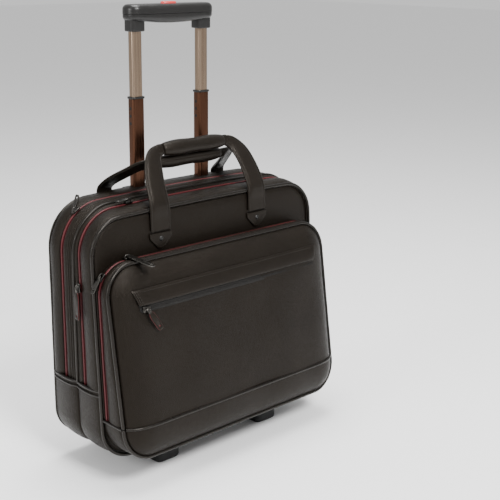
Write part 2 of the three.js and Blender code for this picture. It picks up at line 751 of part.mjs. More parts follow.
// A pointed leather tab with a domed rivet, lying on an upright plane.
function tab(x, top, height, plane, outwards, half) {
  const near = (z) => plane(z) + outwards * 0.5;
  const far = (z) => plane(z) + outwards * 2.9;
  const outline = [
    [half, top],
    [-half, top],
    [-half, top - height * 0.6],
    [0, top - height],
    [half, top - height * 0.6],
  ];
  const plate = skin([near, far].map((face) => outline.map(([u, z]) => at(x + u, face(z), z))));
  const rivetZ = top - height * 0.36;
  const disc = (by, radius) =>
    Array.from({ length: 16 }, (_, i) => {
      const angle = (2 * Math.PI * i) / 16;
      return at(
        x + radius * Math.cos(angle),
        far(rivetZ) + outwards * by,
        rivetZ + radius * Math.sin(angle),
      );
    });
  return plate.add(skin([disc(-1, 4.5), disc(0.6, 4.5), disc(1.6, 3.4), disc(2.1, 1.4)]));
}

for (const [letter, side] of SIDES) {
  add(`front_handle_tab_${letter}`, tab(side * 95, 346, 23, frontFace, 1, 21), BLACK_LEATHER);
  add(`rear_handle_tab_${letter}`, tab(side * 112, 379, 36, () => 0, -1, 15), BLACK_LEATHER);
}

// ---- Zip sliders and their pulls ----
const SLIDER = { halfWidth: 4.4, halfLength: 6.5, height: 3.6 };
// A frame on a zip: x across the tape, y along it and z out of the case.
function frameAt(point, along, out) {
  const across = along.clone().cross(out).normalize();
  const matrix = new THREE.Matrix4().makeBasis(across, along.clone().normalize(), out);
  return matrix.setPosition(point);
}

function slider(frame) {
  const body = new THREE.ExtrudeGeometry(roundedShape(SLIDER.halfWidth, SLIDER.halfLength, 2.5), {
    depth: SLIDER.height,
    bevelEnabled: false,
    curveSegments: 2,
  });
  body.applyMatrix4(frame);
  return solidOf(body);
}

// A flat pull with a round eye, hinged at the origin of its frame and reaching along its y.
function pull(frame, length, halfWidth, thickness) {
  const shape = new THREE.Shape();
  shape.moveTo(-2, -1);
  shape.lineTo(2, -1);
  shape.lineTo(halfWidth, 5);
  shape.lineTo(halfWidth, length - 2);
  shape.lineTo(halfWidth - 2, length);
  shape.lineTo(2 - halfWidth, length);
  shape.lineTo(-halfWidth, length - 2);
  shape.lineTo(-halfWidth, 5);
  shape.closePath();
  const eye = new THREE.Path();
  eye.absarc(0, length - 6, 1.7, 0, 2 * Math.PI);
  shape.holes.push(eye);
  const body = new THREE.ExtrudeGeometry(shape, {
    depth: thickness,
    bevelEnabled: false,
    curveSegments: 5,
  });
  body.translate(0, 0, -thickness / 2);
  body.applyMatrix4(frame);
  return solidOf(body);
}

const direction = (x, forwards, up) => new THREE.Vector3(x, -forwards, up).normalize();
const LEFT = direction(-1, 0, 0);
const UP = direction(0, 0, 1);
const SLIDER_LIFT = 0.3;
const PULL_LIFT = SLIDER_LIFT + SLIDER.height + 1.9; // room for the eye to turn over the slider

// A point on a corner arc of an outline, its direction out and its direction along the arc.
function onCorner(outline, degrees, depth) {
  const angle = THREE.MathUtils.degToRad(degrees);
  const out = new THREE.Vector3(Math.cos(angle), 0, Math.sin(angle));
  const centreX = outline.high - outline.half;
  const centreZ = outline.top - outline.high;
  const z = centreZ + outline.high * out.z;
  const point = at(centreX + outline.high * out.x, valueAt(depth, z), z);
  return { point, out, along: new THREE.Vector3(-out.z, 0, out.x) };
}

function topOfCase(x, plane) {
  const { top } = caseOutline(plane(FRONT_TOP));
  return at(x, plane(top), top);
}

const rearCorner = onCorner(REAR_OUTLINE, 125, REAR_ZIP);
const pocketCorner = onCorner(POCKET_OUTLINE, 143, pocketZip);
const forwards = direction(0, 1, 0);
const pocketFace = direction(0, LEAN_HEIGHT, 38.4);
const slitZ = 259;
const slitX = -163;
const zips = [
  {
    name: "rear_zip",
    ...rearCorner,
    hang: direction(0.35, 0, 0.94),
    length: 20,
    halfWidth: 4,
  },
  {
    name: "laptop_zip_side",
    point: at(-HALF_WIDTH, laptopZip(282), 282),
    out: LEFT,
    along: direction(0, -5.5, LEAN_HEIGHT),
    hang: direction(0, 0, -1),
    length: 46,
    halfWidth: 4.5,
  },
  {
    name: "laptop_zip_top",
    point: topOfCase(-126, laptopZip),
    out: UP,
    along: direction(1, 0, 0),
    hang: direction(-1, 0, 0),
    length: 22,
    halfWidth: 4,
  },
  {
    name: "pocket_zip_top",
    point: at(-160, pocketZip(POCKET_TOP), POCKET_TOP),
    out: UP,
    along: direction(1, 0, 0),
    hang: direction(0.2, 1, -0.16),
    length: 48,
    halfWidth: 5.5,
  },
  {
    name: "pocket_zip_corner",
    ...pocketCorner,
    hang: direction(-0.52, 0, -0.854),
    length: 26,
    halfWidth: 4,
  },
  {
    name: "slit_zip",
    point: at(slitX, pocketSurface(slitX, slitZ), slitZ),
    out: pocketFace,
    along: direction(1, 0, 0),
    hang: direction(150, 38.4, -LEAN_HEIGHT),
    length: 37,
    halfWidth: 4.5,
  },
];
const PULL_THICKNESS = 1.6;
const CENTRING = 3.9;
for (const zip of zips) {
  const base = zip.point.clone().addScaledVector(zip.out, SLIDER_LIFT);
  add(`${zip.name}_slider`, slider(frameAt(base, zip.along, zip.out)), DARK_METAL);
  const pivot = zip.point.clone().addScaledVector(zip.out, PULL_LIFT);
  const across = zip.out.clone().cross(zip.hang).normalize();
  const face = zip.hang.clone().cross(across);
  add(
    `${zip.name}_pull`,
    pull(frameAt(pivot, zip.hang, face), zip.length, zip.halfWidth, PULL_THICKNESS),
    DARK_METAL,
  );
}

// The pulls stand out on one side only, so the whole case moves over to keep the middle at zero.
root.position.x = CENTRING;

export default root;
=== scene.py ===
# %% [markdown]
# # A rolling laptop case
# The case has hard parts (trolley tubes, grip, wheels, feet) and soft parts (padded leatherette
# panels, piping, zips, straps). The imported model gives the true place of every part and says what
# moves. This lesson dresses it: each soft panel is built as a sheet that follows the case's
# outline, and each hard part as a small bmesh model with rounded edges.

import math

import bmesh
import bpy
from mathutils import Matrix, Vector, noise


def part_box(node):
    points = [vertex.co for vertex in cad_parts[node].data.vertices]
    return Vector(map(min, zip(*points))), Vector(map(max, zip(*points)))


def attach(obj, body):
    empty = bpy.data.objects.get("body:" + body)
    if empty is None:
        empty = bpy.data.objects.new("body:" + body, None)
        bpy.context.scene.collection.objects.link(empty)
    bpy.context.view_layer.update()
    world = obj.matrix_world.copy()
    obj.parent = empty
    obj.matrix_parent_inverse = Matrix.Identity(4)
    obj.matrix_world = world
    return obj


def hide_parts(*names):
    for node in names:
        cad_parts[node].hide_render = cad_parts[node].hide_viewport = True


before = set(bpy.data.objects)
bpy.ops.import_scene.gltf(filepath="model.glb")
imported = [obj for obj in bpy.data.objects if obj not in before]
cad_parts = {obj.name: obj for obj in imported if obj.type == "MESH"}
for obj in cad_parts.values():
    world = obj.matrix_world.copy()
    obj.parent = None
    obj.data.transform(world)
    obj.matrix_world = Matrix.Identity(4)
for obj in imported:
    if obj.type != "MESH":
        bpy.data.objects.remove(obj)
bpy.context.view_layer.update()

# %% [markdown]
# ## Measuring by depth
# The case is easier to think of from the back forwards, so places are given as x, depth in front
# of the rear face and z, all in millimetres. One helper turns them into metres in the frame. The
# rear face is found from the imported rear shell, so the looks stay with the model.

# %% Places in millimetres
MM = 0.001
rear_low_corner, rear_high_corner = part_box("rear_shell")
REAR_Y = rear_high_corner.y / MM
MIDDLE_X = (rear_low_corner.x + rear_high_corner.x) / 2 / MM


def spot(x, depth, z):
    return Vector((MIDDLE_X + x, REAR_Y - depth, z)) * MM


def heading(x, forwards, up):
    return Vector((x, -forwards, up)).normalized()


print("rear face at y =", round(REAR_Y, 2), "mm")

# %% [markdown]
# ## The upright planes
# Every layer of the case ends at a plane that leans forwards towards the floor, because the case
# is fuller at the bottom. Each plane is a small function from height to depth, so that zips,
# piping and panels that share a plane always meet.

# %% Planes and outlines
BOOT_TOP = 137
POCKET_SEAM = 96


def lean(top, extra):
    return lambda z: top + extra * (380 - z) / 250


def moved(plane, by):
    return lambda z: plane(z) + by


def level(depth):
    return lambda z: depth


REAR_ZIP = level(32.4)
LAPTOP_ZIP = lean(73.2, 5.5)
FRONT_FACE = lean(102.9, 13.4)
POCKET_ZIP = moved(FRONT_FACE, 7.5)
POCKET_EDGE = lean(120.3, 38.4)

REAR_OUTLINE = dict(half=215, bottom=30, top=390, low=48, high=66, crown=3)
FRONT_OUTLINE = dict(half=215, bottom=30, top=380, low=48, high=53, crown=2)
POCKET_OUTLINE = dict(half=213, bottom=45, top=320, low=45, high=45, crown=0)


MIX_FROM, MIX_DEPTH = 60, 43


def mixed_share(depth):
    return (depth - MIX_FROM) / MIX_DEPTH


def mixed(share):
    share = min(max(share, 0.0), 1.0)
    pairs = [(key, REAR_OUTLINE[key], FRONT_OUTLINE[key]) for key in REAR_OUTLINE]
    return {key: rear + (front - rear) * share for key, rear, front in pairs}


print("zips at depth", REAR_ZIP(300), LAPTOP_ZIP(300), POCKET_ZIP(300))

# %% [markdown]
# ## Walking along an outline
# Seen from the front, each layer is a rounded rectangle. A walk along it is a list of legs, each a
# straight or a corner, and gives a point and the direction that points out of the case. An inset
# is then a step back along that direction. An arch runs from one seam up, over the top and down
# again; a tub is the same below the seam; a loop goes all the way round.

# %% Legs of an outline
def straight(start, end, out):
    def leg(t):
        x = start[0] + (end[0] - start[0]) * t
        z = start[1] + (end[1] - start[1]) * t
        return x, z, out[0], out[1]

    return leg


def corner(centre, radius, first, turn):
    def leg(t):
        angle = math.radians(first + turn * t)
        c, s = math.cos(angle), math.sin(angle)
        return centre[0] + radius * c, centre[1] + radius * s, c, s

    return leg


def follow(legs, u):
    """The point at share u of the walk; each leg is (share of the walk, leg)."""
    for share, leg in legs:
        if u <= share + 1e-9:
            return leg(u / share)
        u -= share
    return legs[-1][1](1)


def upper_legs(o, seam):
    h, top, r = o["half"], o["top"], o["high"]
    return [
        (0.22, straight((-h, seam), (-h, top - r), (-1, 0))),
        (0.12, corner((-h + r, top - r), r, 180, -90)),
        (0.32, straight((-h + r, top), (h - r, top), (0, 1))),
        (0.12, corner((h - r, top - r), r, 90, -90)),
        (0.22, straight((h, top - r), (h, seam), (1, 0))),
    ]


def lower_legs(o, seam):
    h, low, r = o["half"], o["bottom"], o["low"]
    return [
        (0.12, straight((h, seam), (h, low + r), (1, 0))),
        (0.16, corner((h - r, low + r), r, 0, -90)),
        (0.44, straight((h - r, low), (-h + r, low), (0, -1))),
        (0.16, corner((-h + r, low + r), r, -90, -90)),
        (0.12, straight((-h, low + r), (-h, seam), (-1, 0))),
    ]


def crowned(o, x, z, nx, nz):
    """A flat top sags up a little in the middle."""
    flat = o["half"] - o["high"]
    if nz > 0.99 and abs(x) < flat:
        z += o["crown"] * (1 - (x / flat) ** 2)
    return x, z, nx, nz


def arch(o, seam):
    legs = upper_legs(o, seam)
    return lambda u: crowned(o, *follow(legs, u))


def tub(o, seam):
    legs = lower_legs(o, seam)
    return lambda u: follow(legs, u)


def loop(o, seam=200):
    legs = [(s * 0.55, leg) for s, leg in upper_legs(o, seam)]
    legs += [(s * 0.45, leg) for s, leg in lower_legs(o, seam)]
    return lambda u: crowned(o, *follow(legs, u))


print("arch middle:", [round(v, 1) for v in arch(REAR_OUTLINE, BOOT_TOP)(0.5)])

# %% [markdown]
# ## From a grid to a piece
# Nearly every soft piece starts as bmesh's own grid, whose two directions are then laid along the
# outline and across the depth. Grids keep tidy quads, which take subdivision and smooth shading
# well. A helper closes the piece: it merges doubled points, points the faces outwards, keeps hard
# folds sharp and hands the piece to its body.

# %% Grid and finishing helpers
def grid(columns, rows, place):
    bm = bmesh.new()
    bmesh.ops.create_grid(bm, x_segments=columns, y_segments=rows, size=1)
    for v in bm.verts:
        v.co = place((v.co.x + 1) / 2, (v.co.y + 1) / 2)
    return bm


def closed(bm, near=0.00002):
    """Merges a swept grid's seam and fills its two open ends."""
    bmesh.ops.remove_doubles(bm, verts=bm.verts, dist=near)
    bmesh.ops.holes_fill(bm, edges=[e for e in bm.edges if e.is_boundary], sides=0)
    return bm


def round_edges(bm, edges, radius, segments):
    bmesh.ops.bevel(
        bm, geom=edges, offset=radius * MM, segments=segments, profile=0.5, affect="EDGES",
        material=-1
    )


def draw_out(bm, by):
    """Gives a flat outline its thickness: copies its faces and moves the copy."""
    made = bmesh.ops.extrude_face_region(bm, geom=bm.faces[:])["geom"]
    bmesh.ops.translate(bm, verts=[g for g in made if isinstance(g, bmesh.types.BMVert)], vec=by)


def ramp(table, w):
    """Straight-line reading of evenly spaced rows of a table."""
    at = w * (len(table) - 1)
    i = min(int(at), len(table) - 2)
    t = at - i
    return [a + (b - a) * t for a, b in zip(table[i], table[i + 1])]


def softness(point, size, height):
    """A gentle unevenness in millimetres, fixed by the place alone."""
    return height * noise.noise(point / (size * MM))


def piece(
    name, bm, body, material, slot, sharp=40, subdivide=0, wall=0, lining=None, turn=True, node=None
):
    """Makes the object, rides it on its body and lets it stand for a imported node."""
    bmesh.ops.remove_doubles(bm, verts=bm.verts, dist=0.00002)
    if turn:
        bmesh.ops.recalc_face_normals(bm, faces=bm.faces)
    for edge in bm.edges:
        edge.smooth = edge.calc_face_angle(0) < math.radians(sharp)
    for face in bm.faces:
        face.smooth = True
    mesh = bpy.data.meshes.new(name)
    bm.to_mesh(mesh)
    bm.free()
    obj = bpy.data.objects.new(name, mesh)
    bpy.context.scene.collection.objects.link(obj)
    mesh.materials.append(material)
    if subdivide:
        smooth = obj.modifiers.new("Subdivide", "SUBSURF")
        smooth.levels = smooth.render_levels = subdivide
    if wall:
        if lining:
            mesh.materials.append(lining)
        solid = obj.modifiers.new("Wall", "SOLIDIFY")
        solid.thickness = wall * MM
        solid.offset = -1
        solid.material_offset = 1 if lining else 0
    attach(obj, body)
    if node:
        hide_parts(node)
    return obj


def outwards(bm, out):
    """Turns the faces of an open sheet so that they look along out(centre)."""
    flipped = [f for f in bm.faces if f.normal.dot(out(f.calc_center_median())) < 0]
    bmesh.ops.reverse_faces(bm, faces=flipped)


def from_middle(middle):
    return lambda point: point - middle


CASE_MIDDLE = spot(0, 70, 210)
print("helpers ready")

# %% [markdown]
# ## Shared surface effects
# Leather grain, soft colour drift and woven thread appear in several finishes. Each is one node
# group with its own inputs, placed in every material that needs it. A group gives only heights and
# masks; the glossy shader itself stays in the material.

# %% Node helpers
def new_group(name, inputs, outputs):
    group = bpy.data.node_groups.new(name, "ShaderNodeTree")
    for label, default in inputs:
        socket = group.interface.new_socket(label, in_out="INPUT", socket_type="NodeSocketFloat")
        socket.default_value = default
    for label in outputs:
        group.interface.new_socket(label, in_out="OUTPUT", socket_type="NodeSocketFloat")
    start = group.nodes.new("NodeGroupInput")
    end = group.nodes.new("NodeGroupOutput")
    place = group.nodes.new("ShaderNodeTexCoord")
    return group, start, end, place


def sum_of(nodes, links, operation, a, b):
    node = nodes.new("ShaderNodeMath")
    node.operation = operation
    for socket, value in zip(node.inputs, (a, b)):
        if isinstance(value, (int, float)):
            socket.default_value = value
        else:
            links.new(value, socket)
    return node.outputs[0]


# %% Grain group: pebbled cells with fine creases between them
grain, g_in, g_out, g_place = new_group(
    "LeatherGrain", [("Cells per metre", 620), ("Crease", 0.5)], ["Height"]
)
cells = grain.nodes.new("ShaderNodeTexVoronoi")
cells.feature = "DISTANCE_TO_EDGE"
grain.links.new(g_place.outputs["Object"], cells.inputs["Vector"])
grain.links.new(g_in.outputs["Cells per metre"], cells.inputs["Scale"])
pores = grain.nodes.new("ShaderNodeTexNoise")
pores.inputs["Scale"].default_value = 1900
pores.inputs["Detail"].default_value = 3
grain.links.new(g_place.outputs["Object"], pores.inputs["Vector"])
rounded = sum_of(grain.nodes, grain.links, "MINIMUM", cells.outputs["Distance"], 0.22)
raised = sum_of(grain.nodes, grain.links, "MULTIPLY", rounded, 3.2)
fine = sum_of(grain.nodes, grain.links, "MULTIPLY", pores.outputs["Fac"], g_in.outputs["Crease"])
height = sum_of(grain.nodes, grain.links, "ADD", raised, fine)
grain.links.new(height, g_out.inputs["Height"])
print("grain group:", len(grain.nodes), "nodes")

# %% Drift group: slow unevenness of colour and gloss
drift, d_in, d_out, d_place = new_group(
    "SoftDrift", [("Patches per metre", 14), ("Speckle per metre", 240)], ["Patch", "Speckle"]
)
patches = drift.nodes.new("ShaderNodeTexNoise")
patches.inputs["Detail"].default_value = 4
drift.links.new(d_place.outputs["Object"], patches.inputs["Vector"])
drift.links.new(d_in.outputs["Patches per metre"], patches.inputs["Scale"])
speckle = drift.nodes.new("ShaderNodeTexNoise")
speckle.inputs["Detail"].default_value = 2
drift.links.new(d_place.outputs["Object"], speckle.inputs["Vector"])
drift.links.new(d_in.outputs["Speckle per metre"], speckle.inputs["Scale"])
drift.links.new(patches.outputs["Fac"], d_out.inputs["Patch"])
drift.links.new(speckle.outputs["Fac"], d_out.inputs["Speckle"])

# %% Weave group: crossed threads
weave, w_in, w_out, w_place = new_group(
    "Weave", [("Threads per metre", 1500), ("Slub", 0.3)], ["Height"]
)
warp_lines = []
for axis in ("X", "Y", "Z"):
    wave = weave.nodes.new("ShaderNodeTexWave")
    wave.bands_direction = axis
    wave.inputs["Distortion"].default_value = 0.4
    weave.links.new(w_place.outputs["Object"], wave.inputs["Vector"])
    scaled = sum_of(weave.nodes, weave.links, "DIVIDE", w_in.outputs["Threads per metre"], 20)
    weave.links.new(scaled, wave.inputs["Scale"])
    warp_lines.append(wave.outputs["Fac"])
both = sum_of(weave.nodes, weave.links, "MULTIPLY", warp_lines[0], warp_lines[2])
crossed = sum_of(weave.nodes, weave.links, "ADD", both, warp_lines[1])
slub = weave.nodes.new("ShaderNodeTexNoise")
slub.inputs["Scale"].default_value = 420
weave.links.new(w_place.outputs["Object"], slub.inputs["Vector"])
uneven = sum_of(weave.nodes, weave.links, "MULTIPLY", slub.outputs["Fac"], w_in.outputs["Slub"])
threads = sum_of(weave.nodes, weave.links, "ADD", crossed, uneven)
weave.links.new(threads, w_out.inputs["Height"])
print("weave group:", len(weave.nodes), "nodes")

# %% [markdown]
# ## Finishes
# A material here is one Principled shader fed by those groups: the drift moves its colour and
# roughness a little, and the grain or weave goes through a Bump node. Numbers that are the same
# everywhere are typed on the shader's own sockets.

# %% Material builder
WHITE = (1.0, 1.0, 1.0)


def finish(
    name, dark, light, rough, group, heights, bump, depth, metallic=0.0, gloss=0.5, tint=WHITE
):
    """rough is (least, most); heights are the group's input values; depth is in millimetres."""
    material = bpy.data.materials.new(name)
    material.use_nodes = True
    nodes, links = material.node_tree.nodes, material.node_tree.links
    shader = nodes["Principled BSDF"]
    shader.inputs["Metallic"].default_value = metallic
    shader.inputs["Specular IOR Level"].default_value = gloss
    shader.inputs["Specular Tint"].default_value = (*tint, 1)
    soft = nodes.new("ShaderNodeGroup")
    soft.node_tree = drift
    colours = nodes.new("ShaderNodeMix")
    colours.data_type = "RGBA"
    colours.inputs["A"].default_value = (*dark, 1)
    colours.inputs["B"].default_value = (*light, 1)
    links.new(soft.outputs["Patch"], colours.inputs["Factor"])
    links.new(colours.outputs["Result"], shader.inputs["Base Color"])
    spread = nodes.new("ShaderNodeMapRange")
    spread.inputs["From Min"].default_value = 0.3
    spread.inputs["From Max"].default_value = 0.7
    spread.inputs["To Min"].default_value, spread.inputs["To Max"].default_value = rough
    links.new(soft.outputs["Speckle"], spread.inputs["Value"])
    links.new(spread.outputs["Result"], shader.inputs["Roughness"])
    surface = nodes.new("ShaderNodeGroup")
    surface.node_tree = group
    for socket, value in zip(surface.inputs, heights):
        socket.default_value = value
    bumps = nodes.new("ShaderNodeBump")
    bumps.inputs["Strength"].default_value = bump
    bumps.inputs["Distance"].default_value = depth * MM
    links.new(surface.outputs["Height"], bumps.inputs["Height"])
    links.new(bumps.outputs["Normal"], shader.inputs["Normal"])
    return material


# %% The case's finishes
WARM = (1.0, 0.90, 0.80)
LEATHER = finish(
    "BlackLeatherette", (0.0036, 0.0026, 0.0018), (0.0076, 0.0057, 0.0040), (0.29, 0.42), grain,
    (520, 0.55), 0.75, 0.3, gloss=0.12, tint=WARM
)
PIPING = finish(
    "PipingVinyl", (0.0030, 0.0026, 0.0022), (0.0060, 0.0052, 0.0044), (0.26, 0.38), grain,
    (1600, 0.4), 0.08, 0.06, gloss=0.24, tint=(1.0, 0.92, 0.84)
)
STRAP = finish(
    "StrapLeather", (0.0036, 0.0026, 0.0018), (0.0072, 0.0054, 0.0038), (0.30, 0.42), grain,
    (700, 0.5), 0.45, 0.22, gloss=0.17, tint=WARM
)
THREAD = finish(
    "BlackThread", (0.014, 0.012, 0.010), (0.028, 0.024, 0.020), (0.55, 0.7), weave, (4000, 0.3),
    0.4, 0.1, gloss=0.2
)
LINING = finish(
    "DarkLining", (0.007, 0.0065, 0.006), (0.013, 0.012, 0.011), (0.75, 0.9), weave, (1400, 0.3),
    0.5, 0.2, gloss=0.2
)
TAPE = finish(
    "RedZipTape", (0.034, 0.0035, 0.005), (0.055, 0.006, 0.008), (0.65, 0.8), weave, (2600, 0.3),
    0.5, 0.15, gloss=0.2
)
COIL = finish(
    "RedZipCoil", (0.052, 0.0055, 0.0075), (0.080, 0.009, 0.011), (0.4, 0.55), weave, (5000, 0.2),
    0.2, 0.05, gloss=0.3
)
PLASTIC = finish(
    "SatinBlackPlastic", (0.005, 0.0047, 0.0043), (0.009, 0.0085, 0.008), (0.28, 0.40), grain,
    (2400, 0.8), 0.12, 0.05, gloss=0.35
)
HARD_BLACK = finish(
    "TexturedBlackPlastic", (0.004, 0.004, 0.004), (0.008, 0.008, 0.008), (0.42, 0.58), grain,
    (1500, 0.9), 0.35, 0.1, gloss=0.2
)
RUBBER = finish(
    "TyreRubber", (0.005, 0.005, 0.005), (0.010, 0.010, 0.010), (0.7, 0.85), grain, (1200, 0.9),
    0.3, 0.1, gloss=0.2
)
BUTTON_RED = finish(
    "RedButton", (0.42, 0.020, 0.018), (0.52, 0.035, 0.03), (0.28, 0.38), grain, (2600, 0.6), 0.08,
    0.04
)
GUNMETAL = finish(
    "DarkNickel", (0.040, 0.037, 0.034), (0.085, 0.080, 0.073), (0.24, 0.38), grain, (1400, 0.8),
    0.1, 0.04, metallic=1
)
STEEL = finish(
    "DullSteel", (0.25, 0.24, 0.22), (0.35, 0.33, 0.30), (0.3, 0.45), grain, (1400, 0.8), 0.1, 0.04,
    metallic=1
)

# Material, slot and sharpest smooth angle of the pieces that repeat.
CORD = dict(material=PIPING, slot="leatherette", sharp=60)
SEWN = dict(material=THREAD, slot="leatherette", sharp=80)
MOULDED = dict(material=PLASTIC, slot="black_plastic", sharp=50)
CAST = dict(material=GUNMETAL, slot="gunmetal", sharp=50)
print("finishes:", len(bpy.data.materials))

# %% [markdown]
# The trolley tubes are bronze-coloured anodised aluminium, drawn lengthways. Fine lines that run
# up the tube come from noise stretched along Z, so they get a material of their own.

# %% Drawn metal for the tubes
BRONZE = bpy.data.materials.new("BronzeTube")
BRONZE.use_nodes = True
bronze_nodes, bronze_links = BRONZE.node_tree.nodes, BRONZE.node_tree.links
bronze_shader = bronze_nodes["Principled BSDF"]
bronze_shader.inputs["Metallic"].default_value = 1
bronze_place = bronze_nodes.new("ShaderNodeTexCoord")
stretch = bronze_nodes.new("ShaderNodeMapping")
stretch.inputs["Scale"].default_value = (900, 900, 6)
bronze_links.new(bronze_place.outputs["Object"], stretch.inputs["Vector"])
lines = bronze_nodes.new("ShaderNodeTexNoise")
lines.inputs["Scale"].default_value = 1
lines.inputs["Detail"].default_value = 3
bronze_links.new(stretch.outputs["Vector"], lines.inputs["Vector"])
tones = bronze_nodes.new("ShaderNodeMix")
tones.data_type = "RGBA"
tones.inputs["A"].default_value = (0.22, 0.155, 0.108, 1)
tones.inputs["B"].default_value = (0.33, 0.25, 0.185, 1)
bronze_links.new(lines.outputs["Fac"], tones.inputs["Factor"])
bronze_links.new(tones.outputs["Result"], bronze_shader.inputs["Base Color"])
shine = bronze_nodes.new("ShaderNodeMapRange")
shine.inputs["To Min"].default_value = 0.2
shine.inputs["To Max"].default_value = 0.38
bronze_links.new(lines.outputs["Fac"], shine.inputs["Value"])
bronze_links.new(shine.outputs["Result"], bronze_shader.inputs["Roughness"])
scratches = bronze_nodes.new("ShaderNodeBump")
scratches.inputs["Strength"].default_value = 0.12
scratches.inputs["Distance"].default_value = 0.05 * MM
bronze_links.new(lines.outputs["Fac"], scratches.inputs["Height"])
bronze_links.new(scratches.outputs["Normal"], bronze_shader.inputs["Normal"])

# The middle tubes are a redder brown than the upper ones.
BROWN = BRONZE.copy()
BROWN.name = "RedBrownTube"
brown_tones = BROWN.node_tree.nodes[tones.name]
brown_tones.inputs["A"].default_value = (0.060, 0.027, 0.016, 1)
brown_tones.inputs["B"].default_value = (0.120, 0.056, 0.034, 1)
print("bronze ready")

# %% [markdown]
# ## Padded bands
# The sides and top of each compartment are one band of leatherette. In section it swells between
# its seams and dips where it is sewn. A band is a grid laid between two planes: the table gives,
# row by row, the share of the way from the rear plane to the front one and the inset in
# millimetres.

# %% Bands round the case
def skin(wall, subdivide=0):
    """What every open leather sheet has: its thickness in millimetres and its lining."""
    return dict(
        material=LEATHER, slot="leatherette", subdivide=subdivide, wall=wall, lining=LINING,
        turn=False,
    )


def band(walk_at, rear, front, table, columns=150, seed=0.0, unevenness=0.7):
    """walk_at(share) gives the outline's walk at that share of the depth."""

    def place(u, w):
        share, inset = ramp(table, w)
        x, z, nx, nz = walk_at(share)(u)
        depth = rear(z) + (front(z) - rear(z)) * share
        point = spot(x, depth, z)
        inset -= softness(point + Vector((seed, 0, 0)), 55, unevenness)
        return spot(x - nx * inset, depth, z - nz * inset)

    bm = grid(columns, len(table) - 1, place)
    bm.normal_update()
    outwards(bm, from_middle(CASE_MIDDLE))
    return bm


def case_walk(rear, front, kind, seam):
    """The walk of the case's own outline, which changes from rear to front between two depths."""

    def at(share):
        depth = rear(380) + (front(380) - rear(380)) * share
        return kind(mixed(mixed_share(depth)), seam)

    return at


def fixed_walk(outline, kind, seam):
    return lambda share: kind(outline, seam)


def closing(plane, by, top_by, top):
    """A plane beside a zip: the leather edges draw closer together along the top of the case."""

    def at(z):
        share = min(max((z - (top - 26)) / 22, 0), 1)
        return plane(z) + by + (top_by - by) * share * share * (3 - 2 * share)

    return at


# %% Rear compartment band
rear_from, rear_to = level(2.5), closing(REAR_ZIP, -3.8, -2.0, 390)
REAR_TABLE = [
    (0, 3.4), (0.1, 2.4), (0.15, -0.2), (0.24, -1.4), (0.45, -2.5), (0.7, -1.9), (0.88, -0.4),
    (0.96, 0.5), (1.0, 2.0),
]
rear_band = band(case_walk(rear_from, rear_to, arch, BOOT_TOP), rear_from, rear_to, REAR_TABLE)
rear_skin = piece("rear_gusset", rear_band, "case", **skin(2.2, 1), node="rear_shell")

# %% Middle band: leather, three sewn ribs, leather
mid_from, mid_to = closing(REAR_ZIP, 3.8, 2.0, 390), closing(LAPTOP_ZIP, -3.8, -2.2, 388)
MID_TABLE = [
    (0.0, 2.0), (0.03, 0.6), (0.12, -0.8), (0.24, 0.3), (0.27, 2.0), (0.31, -0.7), (0.37, -0.8),
    (0.41, 2.0), (0.45, -0.7), (0.5, -0.8), (0.54, 2.0), (0.58, -0.7), (0.63, -0.8), (0.67, 2.0),
    (0.7, 0.4), (0.78, 0.2), (0.87, -0.2), (0.95, 0.4), (1.0, 2.0),
]
mid_band = band(
    case_walk(mid_from, mid_to, arch, BOOT_TOP), mid_from, mid_to, MID_TABLE, seed=1.0,
    unevenness=0.4
)
mid_skin = piece("ribbed_gusset", mid_band, "mid_section", **skin(2.2, 1), node="mid_shell")

# %% Front band of the laptop compartment
front_from, front_to = closing(LAPTOP_ZIP, 3.8, 2.2, 388), moved(FRONT_FACE, -0.8)
FRONT_TABLE = [
    (0, 2.0), (0.04, 0.5), (0.16, -1.1), (0.4, -2.3), (0.65, -2.0), (0.82, -0.9), (0.89, 0.0),
    (0.93, 2.6), (1.0, 3.6),
]
front_band = band(
    case_walk(front_from, front_to, arch, BOOT_TOP), front_from, front_to, FRONT_TABLE, seed=2.0
)
front_skin = piece("laptop_gusset", front_band, "front_section", **skin(2.2, 1))
print("bands built")

# %% Lower wrap of both compartments
boot_from, boot_to = level(2.5), moved(FRONT_FACE, -5.0)
BOOT_TABLE = [
    (0, 2.2), (0.03, 0.3), (0.12, -1.3), (0.28, -2.6), (0.42, -1.9), (0.5, 0.2), (0.52, 1.6),
    (0.53, 4.2), (0.54, 1.6), (0.56, 0.2), (0.65, -1.5), (0.8, -2.2), (0.92, -0.9), (0.97, 0.3),
    (1.0, 2.2),
]
boot_band = band(
    case_walk(boot_from, boot_to, tub, BOOT_TOP - 0.6), boot_from, boot_to, BOOT_TABLE, columns=110,
    seed=3.0
)
boot_skin = piece("lower_wrap", boot_band, "case", **skin(2.4, 1))

# %% [markdown]
# ## Flat and bulging panels
# The rear face, the front face and the pocket's lid are panels inside the outline. A panel is a
# grid whose rows are stretched to the outline's width at each height, pushed out by an amount that
# depends on how far a point is from the nearest edge. That gives the pillow shape of padded
# leather.

# %% Panels
def half_width(o, z, inset):
    """Half the outline's width at a height."""
    h, low, top = o["half"] - inset, o["bottom"] + inset, o["top"] - inset
    for edge, radius in ((low, o["low"] - inset), (top, o["high"] - inset)):
        into = abs(z - edge)
        if into < radius:
            return h - radius + math.sqrt(max(radius**2 - (radius - into) ** 2, 0))
    return h


def edge_distance(o, x, z):
    radius = o["high"] if z > (o["top"] + o["bottom"]) / 2 else o["low"]
    across_x = abs(x) - (o["half"] - radius)
    across_z = abs(z - (o["top"] + o["bottom"]) / 2) - ((o["top"] - o["bottom"]) / 2 - radius)
    outside = math.hypot(max(across_x, 0), max(across_z, 0))
    return radius - outside - min(max(across_x, across_z), 0)


